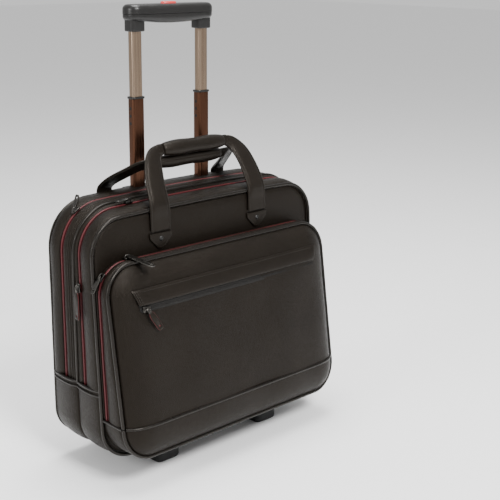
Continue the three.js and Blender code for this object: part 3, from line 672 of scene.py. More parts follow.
def eased(t):
    """Rows crowd towards both ends, where the outline turns."""
    return 0.5 - 0.5 * math.cos(math.pi * t)


def panel(
    o, plane, low, high, inset, puff, reach, side=1, columns=70, rows=60, seed=0.0, unevenness=0.8
):
    """puff is the greatest swelling in millimetres, reached about three reaches from the edge."""
    low, high = max(low, o["bottom"] + inset), min(high, o["top"] - inset)

    def place(u, w):
        z = low + (high - low) * eased(w)
        x = (2 * u - 1) * half_width(o, z, inset)
        point = spot(x, plane(z), z)
        into = max(edge_distance(o, x, z) - inset, 0)
        swell = puff * (1 - math.exp(-into / reach))
        swell += softness(point + Vector((0, seed, 0)), 75, unevenness) * min(into / 12, 1)
        return spot(x, plane(z) + side * swell, z)

    bm = grid(columns, rows, place)
    bm.normal_update()
    outwards(bm, lambda point: Vector((0, -side, 0)))
    return bm


rear_panel_bm = panel(REAR_OUTLINE, level(1.5), BOOT_TOP + 1, 390, 2.5, 1.6, 8, side=-1, seed=4.0)
piece("rear_panel", rear_panel_bm, "case", **skin(1.8))
rear_low_bm = panel(
    REAR_OUTLINE, level(1.5), 30, BOOT_TOP - 1, 2.5, 1.2, 8, side=-1, rows=30, seed=5.0
)
print("rear panels")

# %% Wheel wells cut through the lower rear panel
WHEEL_X, WHEEL_DEPTH, WHEEL_RADIUS = 126, 18, 30


def cut_wells(bm):
    """Cuts along the sides of the plastic wheel housings and takes out the faces inside."""
    cuts = [
        (spot(side * WHEEL_X + edge, 0, 0), Vector((1, 0, 0))) for side in (-1, 1)
        for edge in (-21, 21)
    ]
    cuts += [(spot(0, 0, 69), Vector((0, 0, 1))), (spot(0, 56, 0), Vector((0, 1, 0)))]
    for point, normal in cuts:
        geometry = bm.verts[:] + bm.edges[:] + bm.faces[:]
        bmesh.ops.bisect_plane(bm, geom=geometry, dist=0.00001, plane_co=point, plane_no=normal)
    inside = []
    for f in bm.faces:
        c = f.calc_center_median() / MM
        if abs(abs(c.x - MIDDLE_X) - WHEEL_X) < 21 and c.z < 69 and REAR_Y - c.y < 56:
            inside.append(f)
    bmesh.ops.delete(bm, geom=inside, context="FACES")


cut_wells(rear_low_bm)
piece("rear_lower_panel", rear_low_bm, "case", **skin(1.8), node="boot_tub")

# %% Front face and the pocket's panels
front_panel_bm = panel(
    FRONT_OUTLINE, moved(FRONT_FACE, -3.4), 32, 380, 3.4, 3.3, 4.2, seed=6.0, unevenness=0.9
)
front_panel = piece("front_panel", front_panel_bm, "front_section", **skin(2.2), node="front_shell")
lid_panel_bm = panel(
    POCKET_OUTLINE, POCKET_EDGE, POCKET_SEAM + 0.8, 320, 3.0, 17, 15, columns=90, rows=70, seed=7.0,
    unevenness=1.6
)
lid_panel = piece("pocket_front", lid_panel_bm, "lid", **skin(2.0), node="pocket_lid")
low_panel_bm = panel(
    POCKET_OUTLINE, POCKET_EDGE, 45, POCKET_SEAM - 0.6, 2.2, 16.4, 14, columns=90, rows=26,
    seed=7.0, unevenness=1.2
)
low_panel = piece(
    "pocket_lower_front", low_panel_bm, "front_section", **skin(2.0), node="pocket_tub"
)

# %% Pocket bands
lid_from, lid_to = closing(POCKET_ZIP, 3.4, 1.2, 320), moved(POCKET_EDGE, -0.5)
LID_TABLE = [
    (0, 2.0), (0.06, 0.5), (0.2, -0.8), (0.45, -2.0), (0.7, -1.7), (0.84, -0.7), (0.89, 0.2),
    (0.93, 2.6), (1.0, 3.4),
]
lid_bm = band(
    fixed_walk(POCKET_OUTLINE, arch, POCKET_SEAM + 0.8), lid_from, lid_to, LID_TABLE, seed=8.0
)
piece("pocket_gusset", lid_bm, "lid", **skin(2.0, 1))
low_from, low_to = moved(FRONT_FACE, 0.5), moved(POCKET_EDGE, -0.5)
LOW_TABLE = [
    (0, 1.6), (0.04, 0.2), (0.2, -1.2), (0.5, -1.9), (0.8, -1.0), (0.89, 0.0), (0.93, 2.4),
    (1.0, 3.2),
]
low_bm = band(
    fixed_walk(POCKET_OUTLINE, tub, POCKET_SEAM - 0.6), low_from, low_to, LOW_TABLE, columns=110,
    seed=9.0
)
piece("pocket_lower_gusset", low_bm, "front_section", **skin(2.0, 1))
rim_from, rim_to = moved(FRONT_FACE, 0.4), closing(POCKET_ZIP, -3.4, -1.2, 320)
RIM_TABLE = [(0, 3.0), (0.1, 0.8), (0.5, 0.2), (0.9, 0.8), (1.0, 3.0)]
rim_bm = band(
    fixed_walk(POCKET_OUTLINE, arch, POCKET_SEAM + 0.8), rim_from, rim_to, RIM_TABLE, seed=10.0,
    unevenness=0.1
)
piece("pocket_rim", rim_bm, "front_section", LEATHER, "leatherette", wall=1.2, turn=False)
print("pocket built")

# %% [markdown]
# ## Piping
# A thin cord covered in vinyl is sewn into every outer seam. It is a tube whose middle line is the
# outline itself, so it is one grid again: one direction follows the walk, the other goes round the
# cord. A faint wobble keeps it from looking extruded.

# %% Piping round an outline
def cord_round(walk, plane, inset, radius, endless):
    def place(u, w):
        x, z, nx, nz = walk(u)
        depth = plane(z)
        inset_here = inset + softness(spot(x, depth, z), 30, 0.25)
        angle = 2 * math.pi * w
        out = radius * math.cos(angle) - inset_here
        return spot(x + nx * out, depth + radius * math.sin(angle), z + nz * out)

    bm = grid(200, 8, place)
    return bm if endless else closed(bm)


pipings = [
    ("rear_piping", loop(REAR_OUTLINE), level(2.2), 2.0, 2.4, "case", True),
    ("middle_piping", arch(mixed(0.05), BOOT_TOP), level(62.3), 0.0, 2.3, "mid_section", False),
    ("front_piping", loop(FRONT_OUTLINE), moved(FRONT_FACE, -0.8), 1.1, 2.9, "front_section", True),
    ("pocket_piping_upper", arch(POCKET_OUTLINE, POCKET_SEAM), POCKET_EDGE, 1.0, 2.8, "lid", False),
    (
        "pocket_piping_lower", tub(POCKET_OUTLINE, POCKET_SEAM), POCKET_EDGE, 1.0, 2.8,
        "front_section", False
    ),
]
for name, walk, plane, inset, radius, body, endless in pipings:
    cord_bm = cord_round(walk, plane, inset, radius, endless)
    if name == "rear_piping":
        cut_wells(cord_bm)
        bmesh.ops.holes_fill(cord_bm, edges=[e for e in cord_bm.edges if e.is_boundary], sides=0)
    piece(name, cord_bm, body, **CORD, subdivide=1)
print("pipings:", len(pipings))

# %% [markdown]
# The lower wrap is sewn to the upper panels with a thin cord as well. These seams are straight
# runs over the side and across the back, and over the bulge of the pocket. A second cord maker
# takes any row of points and sweeps a small circle along it.

# %% Cords along any path
def along_path(points, u):
    """A smooth curve through the points, read at share u (Catmull-Rom)."""
    at = min(max(u, 0.0), 1.0) * (len(points) - 1)
    i = min(int(at), len(points) - 2)
    t = at - i
    p0, p1, p2, p3 = (points[min(max(k, 0), len(points) - 1)] for k in range(i - 1, i + 3))
    return 0.5 * (
        (2 * p1) + (p2 - p0) * t + (2 * p0 - 5 * p1 + 4 * p2 - p3) * t**2
        + (3 * p1 - p0 - 3 * p2 + p3) * t**3
    )


def cord_along(points, radius, columns=60, facing=Vector((0, 0.3, 1))):
    def place(u, w):
        here = along_path(points, u)
        tangent = (
            along_path(points, min(u + 0.01, 1)) - along_path(points, max(u - 0.01, 0))
        ).normalized()
        across = tangent.cross(facing).normalized()
        up = across.cross(tangent)
        angle = 2 * math.pi * w
        return here + (across * math.cos(angle) + up * math.sin(angle)) * radius * MM

    return closed(grid(columns, 8, place))


def pocket_swell(x, z, inset=2.2, puff=17, reach=15):
    into = max(edge_distance(POCKET_OUTLINE, x, z) - inset, 0)
    return puff * (1 - math.exp(-into / reach))


def on_pocket(x, z, lift=0.0):
    return spot(x, POCKET_EDGE(z) + pocket_swell(x, z) + lift, z)


def boot_swell(depth):
    """How far the lower wrap stands out of the outline at a depth, just under its seam."""
    share = min(max((depth - 2.5) / (boot_to(BOOT_TOP) - 2.5), 0), 1)
    for (a, inset_a), (b, inset_b) in zip(BOOT_TABLE, BOOT_TABLE[1:]):
        if share <= b:
            t = (share - a) / (b - a)
            return -(inset_a + (inset_b - inset_a) * t)
    return -BOOT_TABLE[-1][1]


# %% Seam cords
for side in (-1, 1):
    letter = "l" if side < 0 else "r"
    depths = [
        2, 8, 14, 20, 28, 36, 44, 52, 58, 61, 64, 70, 78, 86, 94, 100, FRONT_FACE(BOOT_TOP) - 2
    ]
    for word, drop, radius in (("", 0, 2.3), ("_lower", 7.5, 1.7)):
        over_case = [spot(side * (215.0 + boot_swell(d)), d, BOOT_TOP - drop) for d in depths]
        piece(
            f"boot_seam{word}_{letter}", cord_along(over_case, radius, columns=110), "case", **CORD
        )
    over_pocket = [
        spot(side * 213.6, d, POCKET_SEAM)
        for d in (FRONT_FACE(POCKET_SEAM) + 2, 130, 145, 158, POCKET_EDGE(POCKET_SEAM) - 1)
    ]
    piece(f"pocket_side_seam_{letter}", cord_along(over_pocket, 2.0), "front_section", **CORD)
across_back = [spot(x, -0.6, BOOT_TOP) for x in range(-211, 212, 26)]
piece("back_seam", cord_along(across_back, 2.1, columns=80), "case", **CORD)
across_pocket = [on_pocket(x, POCKET_SEAM, 0.4) for x in range(-209, 210, 11)]
piece("pocket_front_seam", cord_along(across_pocket, 2.1, columns=160), "front_section", **CORD)
print("seam cords done")

# %% [markdown]
# ## Zips
# Each zip is two woven tapes, one on either leather edge, with half of a nylon coil along the
# inner side of each. They are separate pieces because the two sides ride on different sections.
# The coil is a cord whose radius swells and narrows once per tooth.

# %% Tape and coil
def tape(walk, plane, side, half, start=0.3, columns=150):
    """side is -1 for the half behind the zip's plane and 1 for the half in front."""

    def place(u, w):
        x, z, nx, nz = walk(u)
        inset = 3.0 - 1.0 * w
        reach = (half + 1.5) * (1 - w) + start * w
        return spot(x - nx * inset, plane(z) + side * reach, z - nz * inset)

    bm = grid(columns, 4, place)
    bm.normal_update()
    outwards(bm, from_middle(CASE_MIDDLE))
    return bm


def coil(walk, plane, side, teeth, radius=1.15):
    def place(u, w):
        x, z, nx, nz = walk(u)
        size = radius * (
            0.62 + 0.38 * abs(math.sin(math.pi * (teeth * u + (0.5 if side > 0 else 0))))
        )
        angle = 2 * math.pi * w
        out = size * math.cos(angle) - 1.2
        return spot(
            x + nx * out, plane(z) + side * (0.75 + size * math.sin(angle) * side), z + nz * out
        )

    return closed(grid(teeth * 2, 5, place), near=0.00001)


zips = [
    ("rear_zip", arch(REAR_OUTLINE, BOOT_TOP), REAR_ZIP, 6.2, 500, "case", "mid_section"),
    (
        "laptop_zip", arch(mixed(mixed_share(LAPTOP_ZIP(380))), BOOT_TOP), LAPTOP_ZIP, 6.2, 500,
        "mid_section", "front_section"
    ),
    ("pocket_zip", arch(POCKET_OUTLINE, POCKET_SEAM), POCKET_ZIP, 4.6, 480, "front_section", "lid"),
]
for name, walk, plane, half, teeth, behind, ahead in zips:
    for side, word, body in ((-1, "rear", behind), (1, "front", ahead)):
        piece(
            f"{name}_{word}_tape", tape(walk, plane, side, half), body, TAPE, "zip_tape", wall=0.8,
            turn=False, node=f"{name}_tape_{word}"
        )
        piece(
            f"{name}_{word}_coil", coil(walk, plane, side, teeth), body, COIL, "zip_tape", sharp=80
        )
print("zips:", len(zips))

# %% [markdown]
# ## Zip sliders
# A slider is a die-cast shoe, narrower where the coils come together, with a bridge on its back
# that holds the pull. The shoe is a cube with bevelled edges, tapered at one end, and the bridge
# is a short bent cord. All are made round the origin and set on the zip with one matrix, before
# the mesh is finished, so that the object itself stays at the origin.

# %% Slider maker
def set_on(point, along, out):
    """A matrix with y along the zip and z out of the case."""
    across = along.cross(out).normalized()
    turned = Matrix((across, along.normalized(), out.normalized())).transposed().to_4x4()
    return Matrix.Translation(point) @ turned


def slider_shoe():
    bm = bmesh.new()
    bmesh.ops.create_cube(bm, size=1)
    bmesh.ops.scale(bm, verts=bm.verts, vec=Vector((8.4, 12.6, 3.2)) * MM)
    bmesh.ops.translate(bm, verts=bm.verts, vec=Vector((0, 0, 2.0)) * MM)
    front = [v for v in bm.verts if v.co.y > 0]
    bmesh.ops.scale(bm, verts=front, vec=(0.68, 1, 0.9))
    round_edges(bm, bm.edges[:], 0.8, 3)
    bow = [
        Vector(p) * MM
        for p in (
            (0, -4.6, 3.2), (0, -4.2, 5.4), (0, -2, 6.7), (0, 1, 6.9), (0, 3.6, 5.8), (0, 4.4, 3.2)
        )
    ]
    merge_in(bm, cord_along(bow, 0.9, columns=18, facing=Vector((1, 0, 0))))
    return bm


def merge_in(bm, other):
    """Adds another bmesh to this one and frees it."""
    mesh = bpy.data.meshes.new("part")
    other.to_mesh(mesh)
    other.free()
    bm.from_mesh(mesh)
    bpy.data.meshes.remove(mesh)


SQUARENESS = 0.45


def plate(half, start, end, thickness, hole_at=None, hole=1.7, neck=0.5, bevel=0.3):
    """A flat pull in its own frame: it hangs along y from the pivot, with an optional eyelet."""
    bm = bmesh.new()
    bmesh.ops.create_circle(bm, segments=32, radius=1)
    rim = bm.verts[:]
    middle, reach = (start + end) / 2, (end - start) / 2
    for v in rim:
        c, s = v.co.x, v.co.y
        y = middle + reach * math.copysign(abs(s) ** SQUARENESS, s)
        t = min(max((y - start) / 8, 0), 1)
        width = half * (neck + (1 - neck) * t * t * (3 - 2 * t))
        v.co = Vector((width * math.copysign(abs(c) ** SQUARENESS, c), y, 0)) * MM
    if hole_at is None:
        bmesh.ops.contextual_create(bm, geom=bm.edges[:])
    else:
        ring = bmesh.ops.create_circle(bm, segments=32, radius=hole * MM)["verts"]
        bmesh.ops.translate(bm, verts=ring, vec=Vector((0, hole_at, 0)) * MM)
        bmesh.ops.bridge_loops(bm, edges=bm.edges[:])
    draw_out(bm, (0, 0, thickness * MM))
    bmesh.ops.translate(bm, verts=bm.verts, vec=(0, 0, -thickness / 2 * MM))
    bmesh.ops.recalc_face_normals(bm, faces=bm.faces)
    sharp = [e for e in bm.edges if e.calc_face_angle(0) > math.radians(60)]
    round_edges(bm, sharp, bevel, 2)
    return bm


# %% Where each slider stands
PULL_LIFT = 5.8


def corner_stand(centre, radius, degrees, plane):
    angle = math.radians(degrees)
    x, z = centre[0] + radius * math.cos(angle), centre[1] + radius * math.sin(angle)
    out = heading(math.cos(angle), 0, math.sin(angle))
    return spot(x, plane(z), z), out, heading(-math.sin(angle), 0, math.cos(angle))


top_z = mixed(mixed_share(LAPTOP_ZIP(380)))["top"]
pocket_out = heading(0, 250, 38.4)
stands = {
    "rear_zip": (
        *corner_stand((-149, 324), 66, 125, REAR_ZIP), heading(0.35, 0, 0.94), "metal", 20, 4.2
    ),
    "laptop_zip_side": (
        spot(-215, LAPTOP_ZIP(282), 282), heading(-1, 0, 0), heading(0, -5.5, 250),
        heading(0, 0, -1), "leather", 46, 4.6
    ),
    "laptop_zip_top": (
        spot(-126, LAPTOP_ZIP(top_z), top_z), heading(0, 0, 1), heading(1, 0, 0), heading(-1, 0, 0),
        "metal", 22, 4.2
    ),
    "pocket_zip_top": (
        spot(-160, POCKET_ZIP(320), 320), heading(0, 0, 1), heading(1, 0, 0),
        heading(0.2, 1, -0.16), "plate", 48, 5.6
    ),
    "pocket_zip_corner": (
        *corner_stand((-168, 275), 45, 143, POCKET_ZIP), heading(-0.52, 0, -0.854), "metal", 26, 4.2
    ),
    "slit_zip": (
        spot(-163, POCKET_EDGE(259) + 17, 259), pocket_out, heading(1, 0, 0),
        heading(150, 38.4, -250), "leather", 37, 4.6
    ),
}

# %% Sliders and pulls
for name, (point, out, along, hang, kind, length, half) in stands.items():
    shoe = slider_shoe()
    shoe.transform(set_on(point, along, out))
    piece(f"{name}_shoe", shoe, f"{name}_slider", **CAST, node=f"{name}_slider")
    across = out.cross(hang).normalized()
    face = hang.cross(across)
    pivot = set_on(point + out * PULL_LIFT * MM, hang, face)
    if kind == "leather":
        clip = plate(2.6, -1.2, 12, 1.5, hole_at=1.2, hole=1.3, neck=0.9)
        clip.transform(pivot)
        piece(f"{name}_clip", clip, f"{name}_pull", **CAST, node=f"{name}_pull")
        tongue = plate(half, 6, length, 2.2, hole_at=length - 6, hole=1.5, neck=0.8, bevel=0.5)
        tongue.transform(pivot)
        piece(f"{name}_tongue", tongue, f"{name}_pull", STRAP, "leatherette", sharp=50)
        edge = plate(half + 0.4, 5.6, length + 0.4, 0.8, neck=0.8, bevel=0.2)
        edge.transform(pivot)
        piece(f"{name}_red_edge", edge, f"{name}_pull", COIL, "zip_tape", sharp=50)
    else:
        tag = plate(half, -1.2, length, 1.7, hole_at=length - 5, hole=1.9, neck=0.55)
        tag.transform(pivot)
        piece(f"{name}_tag", tag, f"{name}_pull", **CAST, node=f"{name}_pull")
print("sliders:", len(stands))

# %% [markdown]
# ## The slit pocket's flap
# The front pocket carries a second, narrow pocket closed by a zip under a long flap. The flap is a
# thin leather strip with slanted, double-stitched ends, following the bulge of the panel.

# %% Flap and the zip beneath
def flap_place(u, w):
    x = (2 * u - 1) * (174 + 9 * w)
    z = 265 + 22 * w
    return on_pocket(x, z, 1.6 + 2.2 * (1 - w) + 0.8 * math.sin(math.pi * w))


flap_bm = grid(120, 6, flap_place)
flap_bm.normal_update()
outwards(flap_bm, lambda point: Vector((0, -1, 0)))
flap = piece(
    "slit_flap_leather", flap_bm, "lid", STRAP, "leatherette", wall=2.0, turn=False,
    node="slit_flap"
)
rounding = flap.modifiers.new("Rounded edges", "BEVEL")
rounding.width, rounding.segments = 0.7 * MM, 2

flap_stitches = []
for side in (-1, 1):
    for inner in (3.2, 6.4):
        for k in range(6):
            w = (k + 0.5) / 6
            ends = [
                on_pocket(side * (174 + 9 * t - inner), 265 + 22 * t, 4.0 + 2.0 * (1 - t))
                for t in (w - 0.05, w + 0.05)
            ]
            flap_stitches.append((ends[0].lerp(ends[1], 0.5), ends[1] - ends[0], heading(0, 1, 0)))
for k in range(96):
    ends = [on_pocket(-168 + (k + t) * 3.5, 284, 3.9) for t in (0.2, 0.8)]
    flap_stitches.append((ends[0].lerp(ends[1], 0.5), ends[1] - ends[0], heading(0, 1, 0)))

slit_bm = grid(120, 3, lambda u, w: on_pocket((2 * u - 1) * 174, 254.5 + 12 * w, 0.3))
slit_bm.normal_update()
outwards(slit_bm, lambda point: Vector((0, -1, 0)))
piece("slit_zip_cloth", slit_bm, "lid", LINING, "zip_tape", wall=0.5, turn=False)


def slit_coil_place(side):
    def place(u, w):
        size = 1.05 * (0.62 + 0.38 * abs(math.sin(math.pi * (200 * u + (0.5 if side > 0 else 0)))))
        angle = 2 * math.pi * w
        x, z = (2 * u - 1) * 173, 259 + side * 0.8 + size * math.sin(angle)
        return on_pocket(x, z, 0.5 + size * math.cos(angle))

    return place


for side, word in ((-1, "lower"), (1, "upper")):
    teeth_bm = closed(grid(400, 5, slit_coil_place(side)), near=0.00001)
    piece(f"slit_coil_{word}", teeth_bm, "lid", LINING, "zip_tape", sharp=80)
print("slit pocket done")

# %% [markdown]
# ## Carry handles
# Both handles are flat straps sewn to pointed tabs, drawn in and wrapped where the hand holds
# them. The strap is a rounded section swept through a few stations with a smooth curve, since a
# flat strap keeps its width and only bends.

# %% Strap sweep
def sweep_strap(stations):
    mirrored = [(-s[0], *s[1:]) for s in stations[:-1]]
    rows = mirrored + stations[::-1]
    centres = [spot(*r[:3]) for r in rows]
    faces = [heading(0, r[3], r[4]) for r in rows]
    sizes = [Vector((r[5], r[6], 0)) for r in rows]

    def frame_at(u):
        here = along_path(centres, u)
        tangent = (
            along_path(centres, min(u + 0.004, 1)) - along_path(centres, max(u - 0.004, 0))
        ).normalized()
        face = along_path(faces, u).normalized()
        across = face.cross(tangent).normalized()
        return here, tangent, across, tangent.cross(across), along_path(sizes, u)

    return frame_at


def strap_mesh(frame_at):
    def place(u, w):
        here, tangent, across, out, size = frame_at(u)
        angle = 2 * math.pi * w
        c, s = math.cos(angle), math.sin(angle)
        a = size.x * math.copysign(abs(c) ** 0.35, c)
        cushion = 0.9 * max(
            0, 1 - abs(a / (size.x - 4.2)) ** 8
        ) * min(1, abs(s) * 3) if size.x > 9 and s > 0 else 0
        from_root = min(max((min(u, 1 - u) - 0.07) / 0.06, 0), 1)
        b = math.copysign(
            size.y * abs(s) ** 0.5 + cushion * from_root * min((size.x - 9) / 3, 1), s
        )
        return here + (across * a + out * b) * MM

    return closed(grid(150, 40, place))


FRONT_STRAP = [
    (
        95, FRONT_FACE(349) + 2.4, 349, 1, 0, 18, 1.7
    ), (95, FRONT_FACE(364) + 2.4, 364, 1, 0, 18, 1.7),
    (95, 105.6, 379, 1, 0.05, 18, 1.7), (
        94.5, 103, 392, 0.96, 0.28, 17.5, 1.7
    ), (92, 92, 415, 0.91, 0.41, 16.5, 1.7),
    (
        86, 81, 436, 0.91, 0.41, 15, 1.8
    ), (77, 72, 449, 0.9, 0.43, 12, 2.2), (66, 68.5, 455, 0.9, 0.43, 9, 2.5),
    (60, 68, 456, 0.9, 0.43, 8, 2.5), (0, 68, 456, 0.9, 0.43, 8, 2.5),
]
REAR_STRAP = [
    (112, -3.2, 382, -1, 0, 13.5, 1.7), (112, -3.2, 387, -1, 0, 13.5, 1.7), (
        111.3, -1.6, 397, -0.93, 0.37, 13.5, 1.7
    ),
    (
        107.3, 11, 408, -0.88, 0.48, 13.5, 1.7
    ), (98, 30, 420, -0.87, 0.5, 13, 1.7), (88, 46, 430, -0.87, 0.5, 11.5, 1.8),
    (
        77, 55, 434, -0.87, 0.5, 9.5, 2.2
    ), (62, 58, 435, -0.87, 0.5, 8, 2.5), (0, 58, 435, -0.87, 0.5, 8, 2.5),
]
print("stations:", len(FRONT_STRAP), len(REAR_STRAP))


# %% [markdown]
# Stitches are short rounded pegs of thread. Each is a six-sided cone with nearly equal ends, and a
# whole seam of them is one mesh.

# %% Stitching
def stitches(places, length=2.6, radius=0.42):
    """places are (point, direction, normal)."""
    bm = bmesh.new()
    for point, direction, normal in places:
        direction = direction.normalized()
        side = direction.cross(normal).normalized()
        turned = Matrix((side, normal.normalized(), direction)).transposed().to_4x4()
        matrix = Matrix.Translation(point) @ turned
        bmesh.ops.create_cone(
            bm, cap_ends=True, segments=6, radius1=radius * MM, radius2=radius * 0.75 * MM,
            depth=length * MM, matrix=matrix
        )
    return bm


def stitch_walk(walk, plane, by, inset, count):
    places = []
    for i in range(count):
        u = (i + 0.5) / count
        x, z, nx, nz = walk(u)
        x2, z2, *_ = walk(min(u + 0.002, 1))
        normal = heading(nx, 0, nz)
        here = spot(x - nx * inset, plane(z) + by, z - nz * inset)
        there = spot(x2 - nx * inset, plane(z2) + by, z2 - nz * inset)
        places.append((here, there - here, normal))
    return stitches(places)


seams = [
    ("rear_zip_stitching_behind", arch(REAR_OUTLINE, BOOT_TOP), REAR_ZIP, -8.6, 0.1, "case"),
    ("rear_zip_stitching_ahead", arch(REAR_OUTLINE, BOOT_TOP), REAR_ZIP, 8.9, 0.1, "mid_section"),
    (
        "laptop_zip_stitching_behind", arch(mixed(0.25), BOOT_TOP), LAPTOP_ZIP, -8.8, 0.4,
        "mid_section"
    ),
    (
        "laptop_zip_stitching_ahead", arch(mixed(0.5), BOOT_TOP), LAPTOP_ZIP, 9.0, 0.2,
        "front_section"
    ),
    ("pocket_zip_stitching", arch(POCKET_OUTLINE, POCKET_SEAM), POCKET_ZIP, 7.3, 0.0, "lid"),
]
for name, walk, plane, by, inset, body in seams:
    piece(name, stitch_walk(walk, plane, by, inset, 210), body, **SEWN)
piece("slit_flap_stitching", stitches(flap_stitches, length=2.2, radius=0.35), "lid", **SEWN)
print("stitched seams:", len(seams))

# %% Straps with their stitching, and the wrapped grips
for word, stations, parent, half_length, radius in (
    ("front", FRONT_STRAP, "front_handle", 58, 10.5),
    ("rear", REAR_STRAP, "rear_handle", 60, 9.8),
):
    frame_at = sweep_strap(stations)
    piece(
        f"{word}_strap", strap_mesh(frame_at), parent, STRAP, "leatherette", sharp=50, subdivide=1,
        node=f"{word}_handle_strap"
    )
    places = []
    for i in range(150):
        u = (i + 0.5) / 150
        here, tangent, across, out, size = frame_at(u)
        if abs(here.x / MM - MIDDLE_X) < half_length + 3:
            continue
        for edge in (-1, 1):
            for face in (-1, 1) if min(u, 1 - u) > 0.14 else (1,):
                aside = across * edge * (size.x - 2.2) + out * face * (size.y - 0.05)
                places.append((here + aside * MM, tangent, out))
    piece(f"{word}_strap_stitching", stitches(places), parent, **SEWN)

    last = stations[-1]
    face = heading(0, last[3], last[4])
    across = face.cross(Vector((1, 0, 0))).normalized()

    def sleeve(u, w):
        t = 2 * u - 1
        size = radius * (0.8 + 0.2 * (1 - abs(t) ** 8)) * (1 - 0.05 * math.cos(2 * math.pi * t))
        angle = 2 * math.pi * w
        seam = 0.9 * math.exp(-(((w - 0.62) / 0.012) ** 2))
        c = (size * 1.06 - seam) * math.cos(angle)
        s = (size * 0.9 - seam) * math.sin(angle)
        return spot(t * half_length, last[1], last[2]) + (across * c + face * s) * MM

    wrap_bm = grid(60, 48, sleeve)
    bmesh.ops.remove_doubles(wrap_bm, verts=wrap_bm.verts, dist=0.00002)
    rims = bmesh.ops.holes_fill(
        wrap_bm, edges=[e for e in wrap_bm.edges if e.is_boundary], sides=0
    )["faces"]
    bmesh.ops.inset_individual(wrap_bm, faces=rims, thickness=2.5 * MM, depth=-0.6 * MM)
    wrap = piece(
        f"{word}_grip_wrap", wrap_bm, parent, STRAP, "leatherette", subdivide=1,
        node=f"{word}_handle_wrap"
    )
print("handles done")

# %% [markdown]
# ## Handle tabs
# Where a strap meets the case, a pointed tab of leather is sewn over its end and held by a domed
# rivet. The tab's outline is a row of points joined into one face, extruded and bevelled.

# %% Tabs and rivets
def tab_mesh(x, top, height, plane, outwards_by, half):
    bm = bmesh.new()
    outline = [
        (half, top), (half * 0.98, top - height * 0.3), (half * 0.3, top - height * 0.92),
        (0, top - height)
    ]
    outline += [(-u, z) for u, z in outline[-2::-1]]
    ring = [bm.verts.new(spot(x + u, plane(z) + outwards_by * 0.4, z)) for u, z in outline]
    bm.faces.new(ring)
    draw_out(bm, Vector((0, -outwards_by * 2.5, 0)) * MM)
    bmesh.ops.recalc_face_normals(bm, faces=bm.faces)
    round_edges(bm, bm.edges[:], 0.7, 3)
    return bm


def dome(point, out, radius, height):
    bm = bmesh.new()
    bmesh.ops.create_uvsphere(bm, u_segments=24, v_segments=12, radius=radius * MM)
    below = [v for v in bm.verts if v.co.z < -0.2 * radius * MM]
    bmesh.ops.delete(bm, geom=below, context="VERTS")
    bmesh.ops.holes_fill(bm, edges=[e for e in bm.edges if e.is_boundary], sides=0)
    bmesh.ops.scale(bm, verts=bm.verts, vec=(1, 1, height / radius))
    bm.transform(Matrix.Translation(point) @ out.to_track_quat("Z", "Y").to_matrix().to_4x4())
    return bm


def tab_edge(x, top, height, plane, outwards_by, half):
    half -= 2.8
    line = [
        (half, top - 2), (half * 0.96, top - height * 0.3), (half * 0.28, top - height * 0.82),
        (0, top - height + 3.4)
    ]
    line += [(-u, z) for u, z in line[-2::-1]]
    points = [spot(x + u, plane(z) + outwards_by * 2.85, z) for u, z in line]
    places = []
    for a, b in zip(points, points[1:]):
        count = max(1, round((b - a).length / MM / 3.6))
        places += [
            (a.lerp(b, (k + 0.5) / count), b - a, heading(0, outwards_by, 0)) for k in range(count)
        ]
    return stitches(places, length=2.3)


for letter, side in (("l", -1), ("r", 1)):
    for word, x, top, height, plane, by, body, half in (
        ("front", 95, 346, 24, FRONT_FACE, 1, "front_section", 20.5),
        ("rear", 112, 379, 37, level(0), -1, "case", 15),
    ):
        piece(
            f"{word}_tab_{letter}", tab_mesh(side * x, top, height, plane, by, half), body, STRAP,
            "leatherette", sharp=50, node=f"{word}_handle_tab_{letter}"
        )
        piece(
            f"{word}_tab_stitching_{letter}", tab_edge(side * x, top, height, plane, by, half),
            body, **SEWN
        )
        rivet_z = top - height * 0.36
        head = dome(spot(side * x, plane(rivet_z) + by * 2.6, rivet_z), heading(0, by, 0), 3.9, 1.9)
        piece(f"{word}_rivet_{letter}", head, body, PLASTIC, "gunmetal", sharp=50)
print("tabs done")

# %% [markdown]
# ## Trolley handle
# Three nested aluminium tubes on each side carry a moulded grip. A tube is a rounded rectangle
# drawn out, with its rims softly rounded. Building them again with a finer corner gives the long
# soft highlight that a faceted corner would break up.

# %% Rounded blocks and tubes
def rounded_block(x0, x1, y0, y1, z0, z1, upright, top=0.0, bottom=0.0, segments=5):
    """A block in frame millimetres (y is the frame's own y) with rounded uprights and rims."""
    bm = bmesh.new()
    bmesh.ops.create_cube(bm, size=1)
    bmesh.ops.scale(bm, verts=bm.verts, vec=Vector((x1 - x0, y1 - y0, z1 - z0)) * MM)
    middle = Vector((MIDDLE_X + (x0 + x1) / 2, (y0 + y1) / 2, (z0 + z1) / 2)) * MM
    bmesh.ops.translate(bm, verts=bm.verts, vec=middle)
    standing = [e for e in bm.edges if abs(e.verts[0].co.z - e.verts[1].co.z) > 0.001 * MM]
    round_edges(bm, standing, upright, segments)
    for height, radius in ((z1, top), (z0, bottom)):
        if radius:
            rim = [e for e in bm.edges if all(abs(v.co.z - height * MM) < 1e-6 for v in e.verts)]
            round_edges(bm, rim, radius, segments)
    return bm


TUBE_X, TUBE_Y = 63, 71
LOCK_HOLES = (488, 499, 510)


def tube_mesh(x, half_x, half_y, z0, z1, corner_radius):
    y0, y1 = TUBE_Y - half_y, TUBE_Y + half_y
    return rounded_block(
        x - half_x, x + half_x, y0, y1, z0, z1, corner_radius, top=0.6, bottom=0.4, segments=6
    )


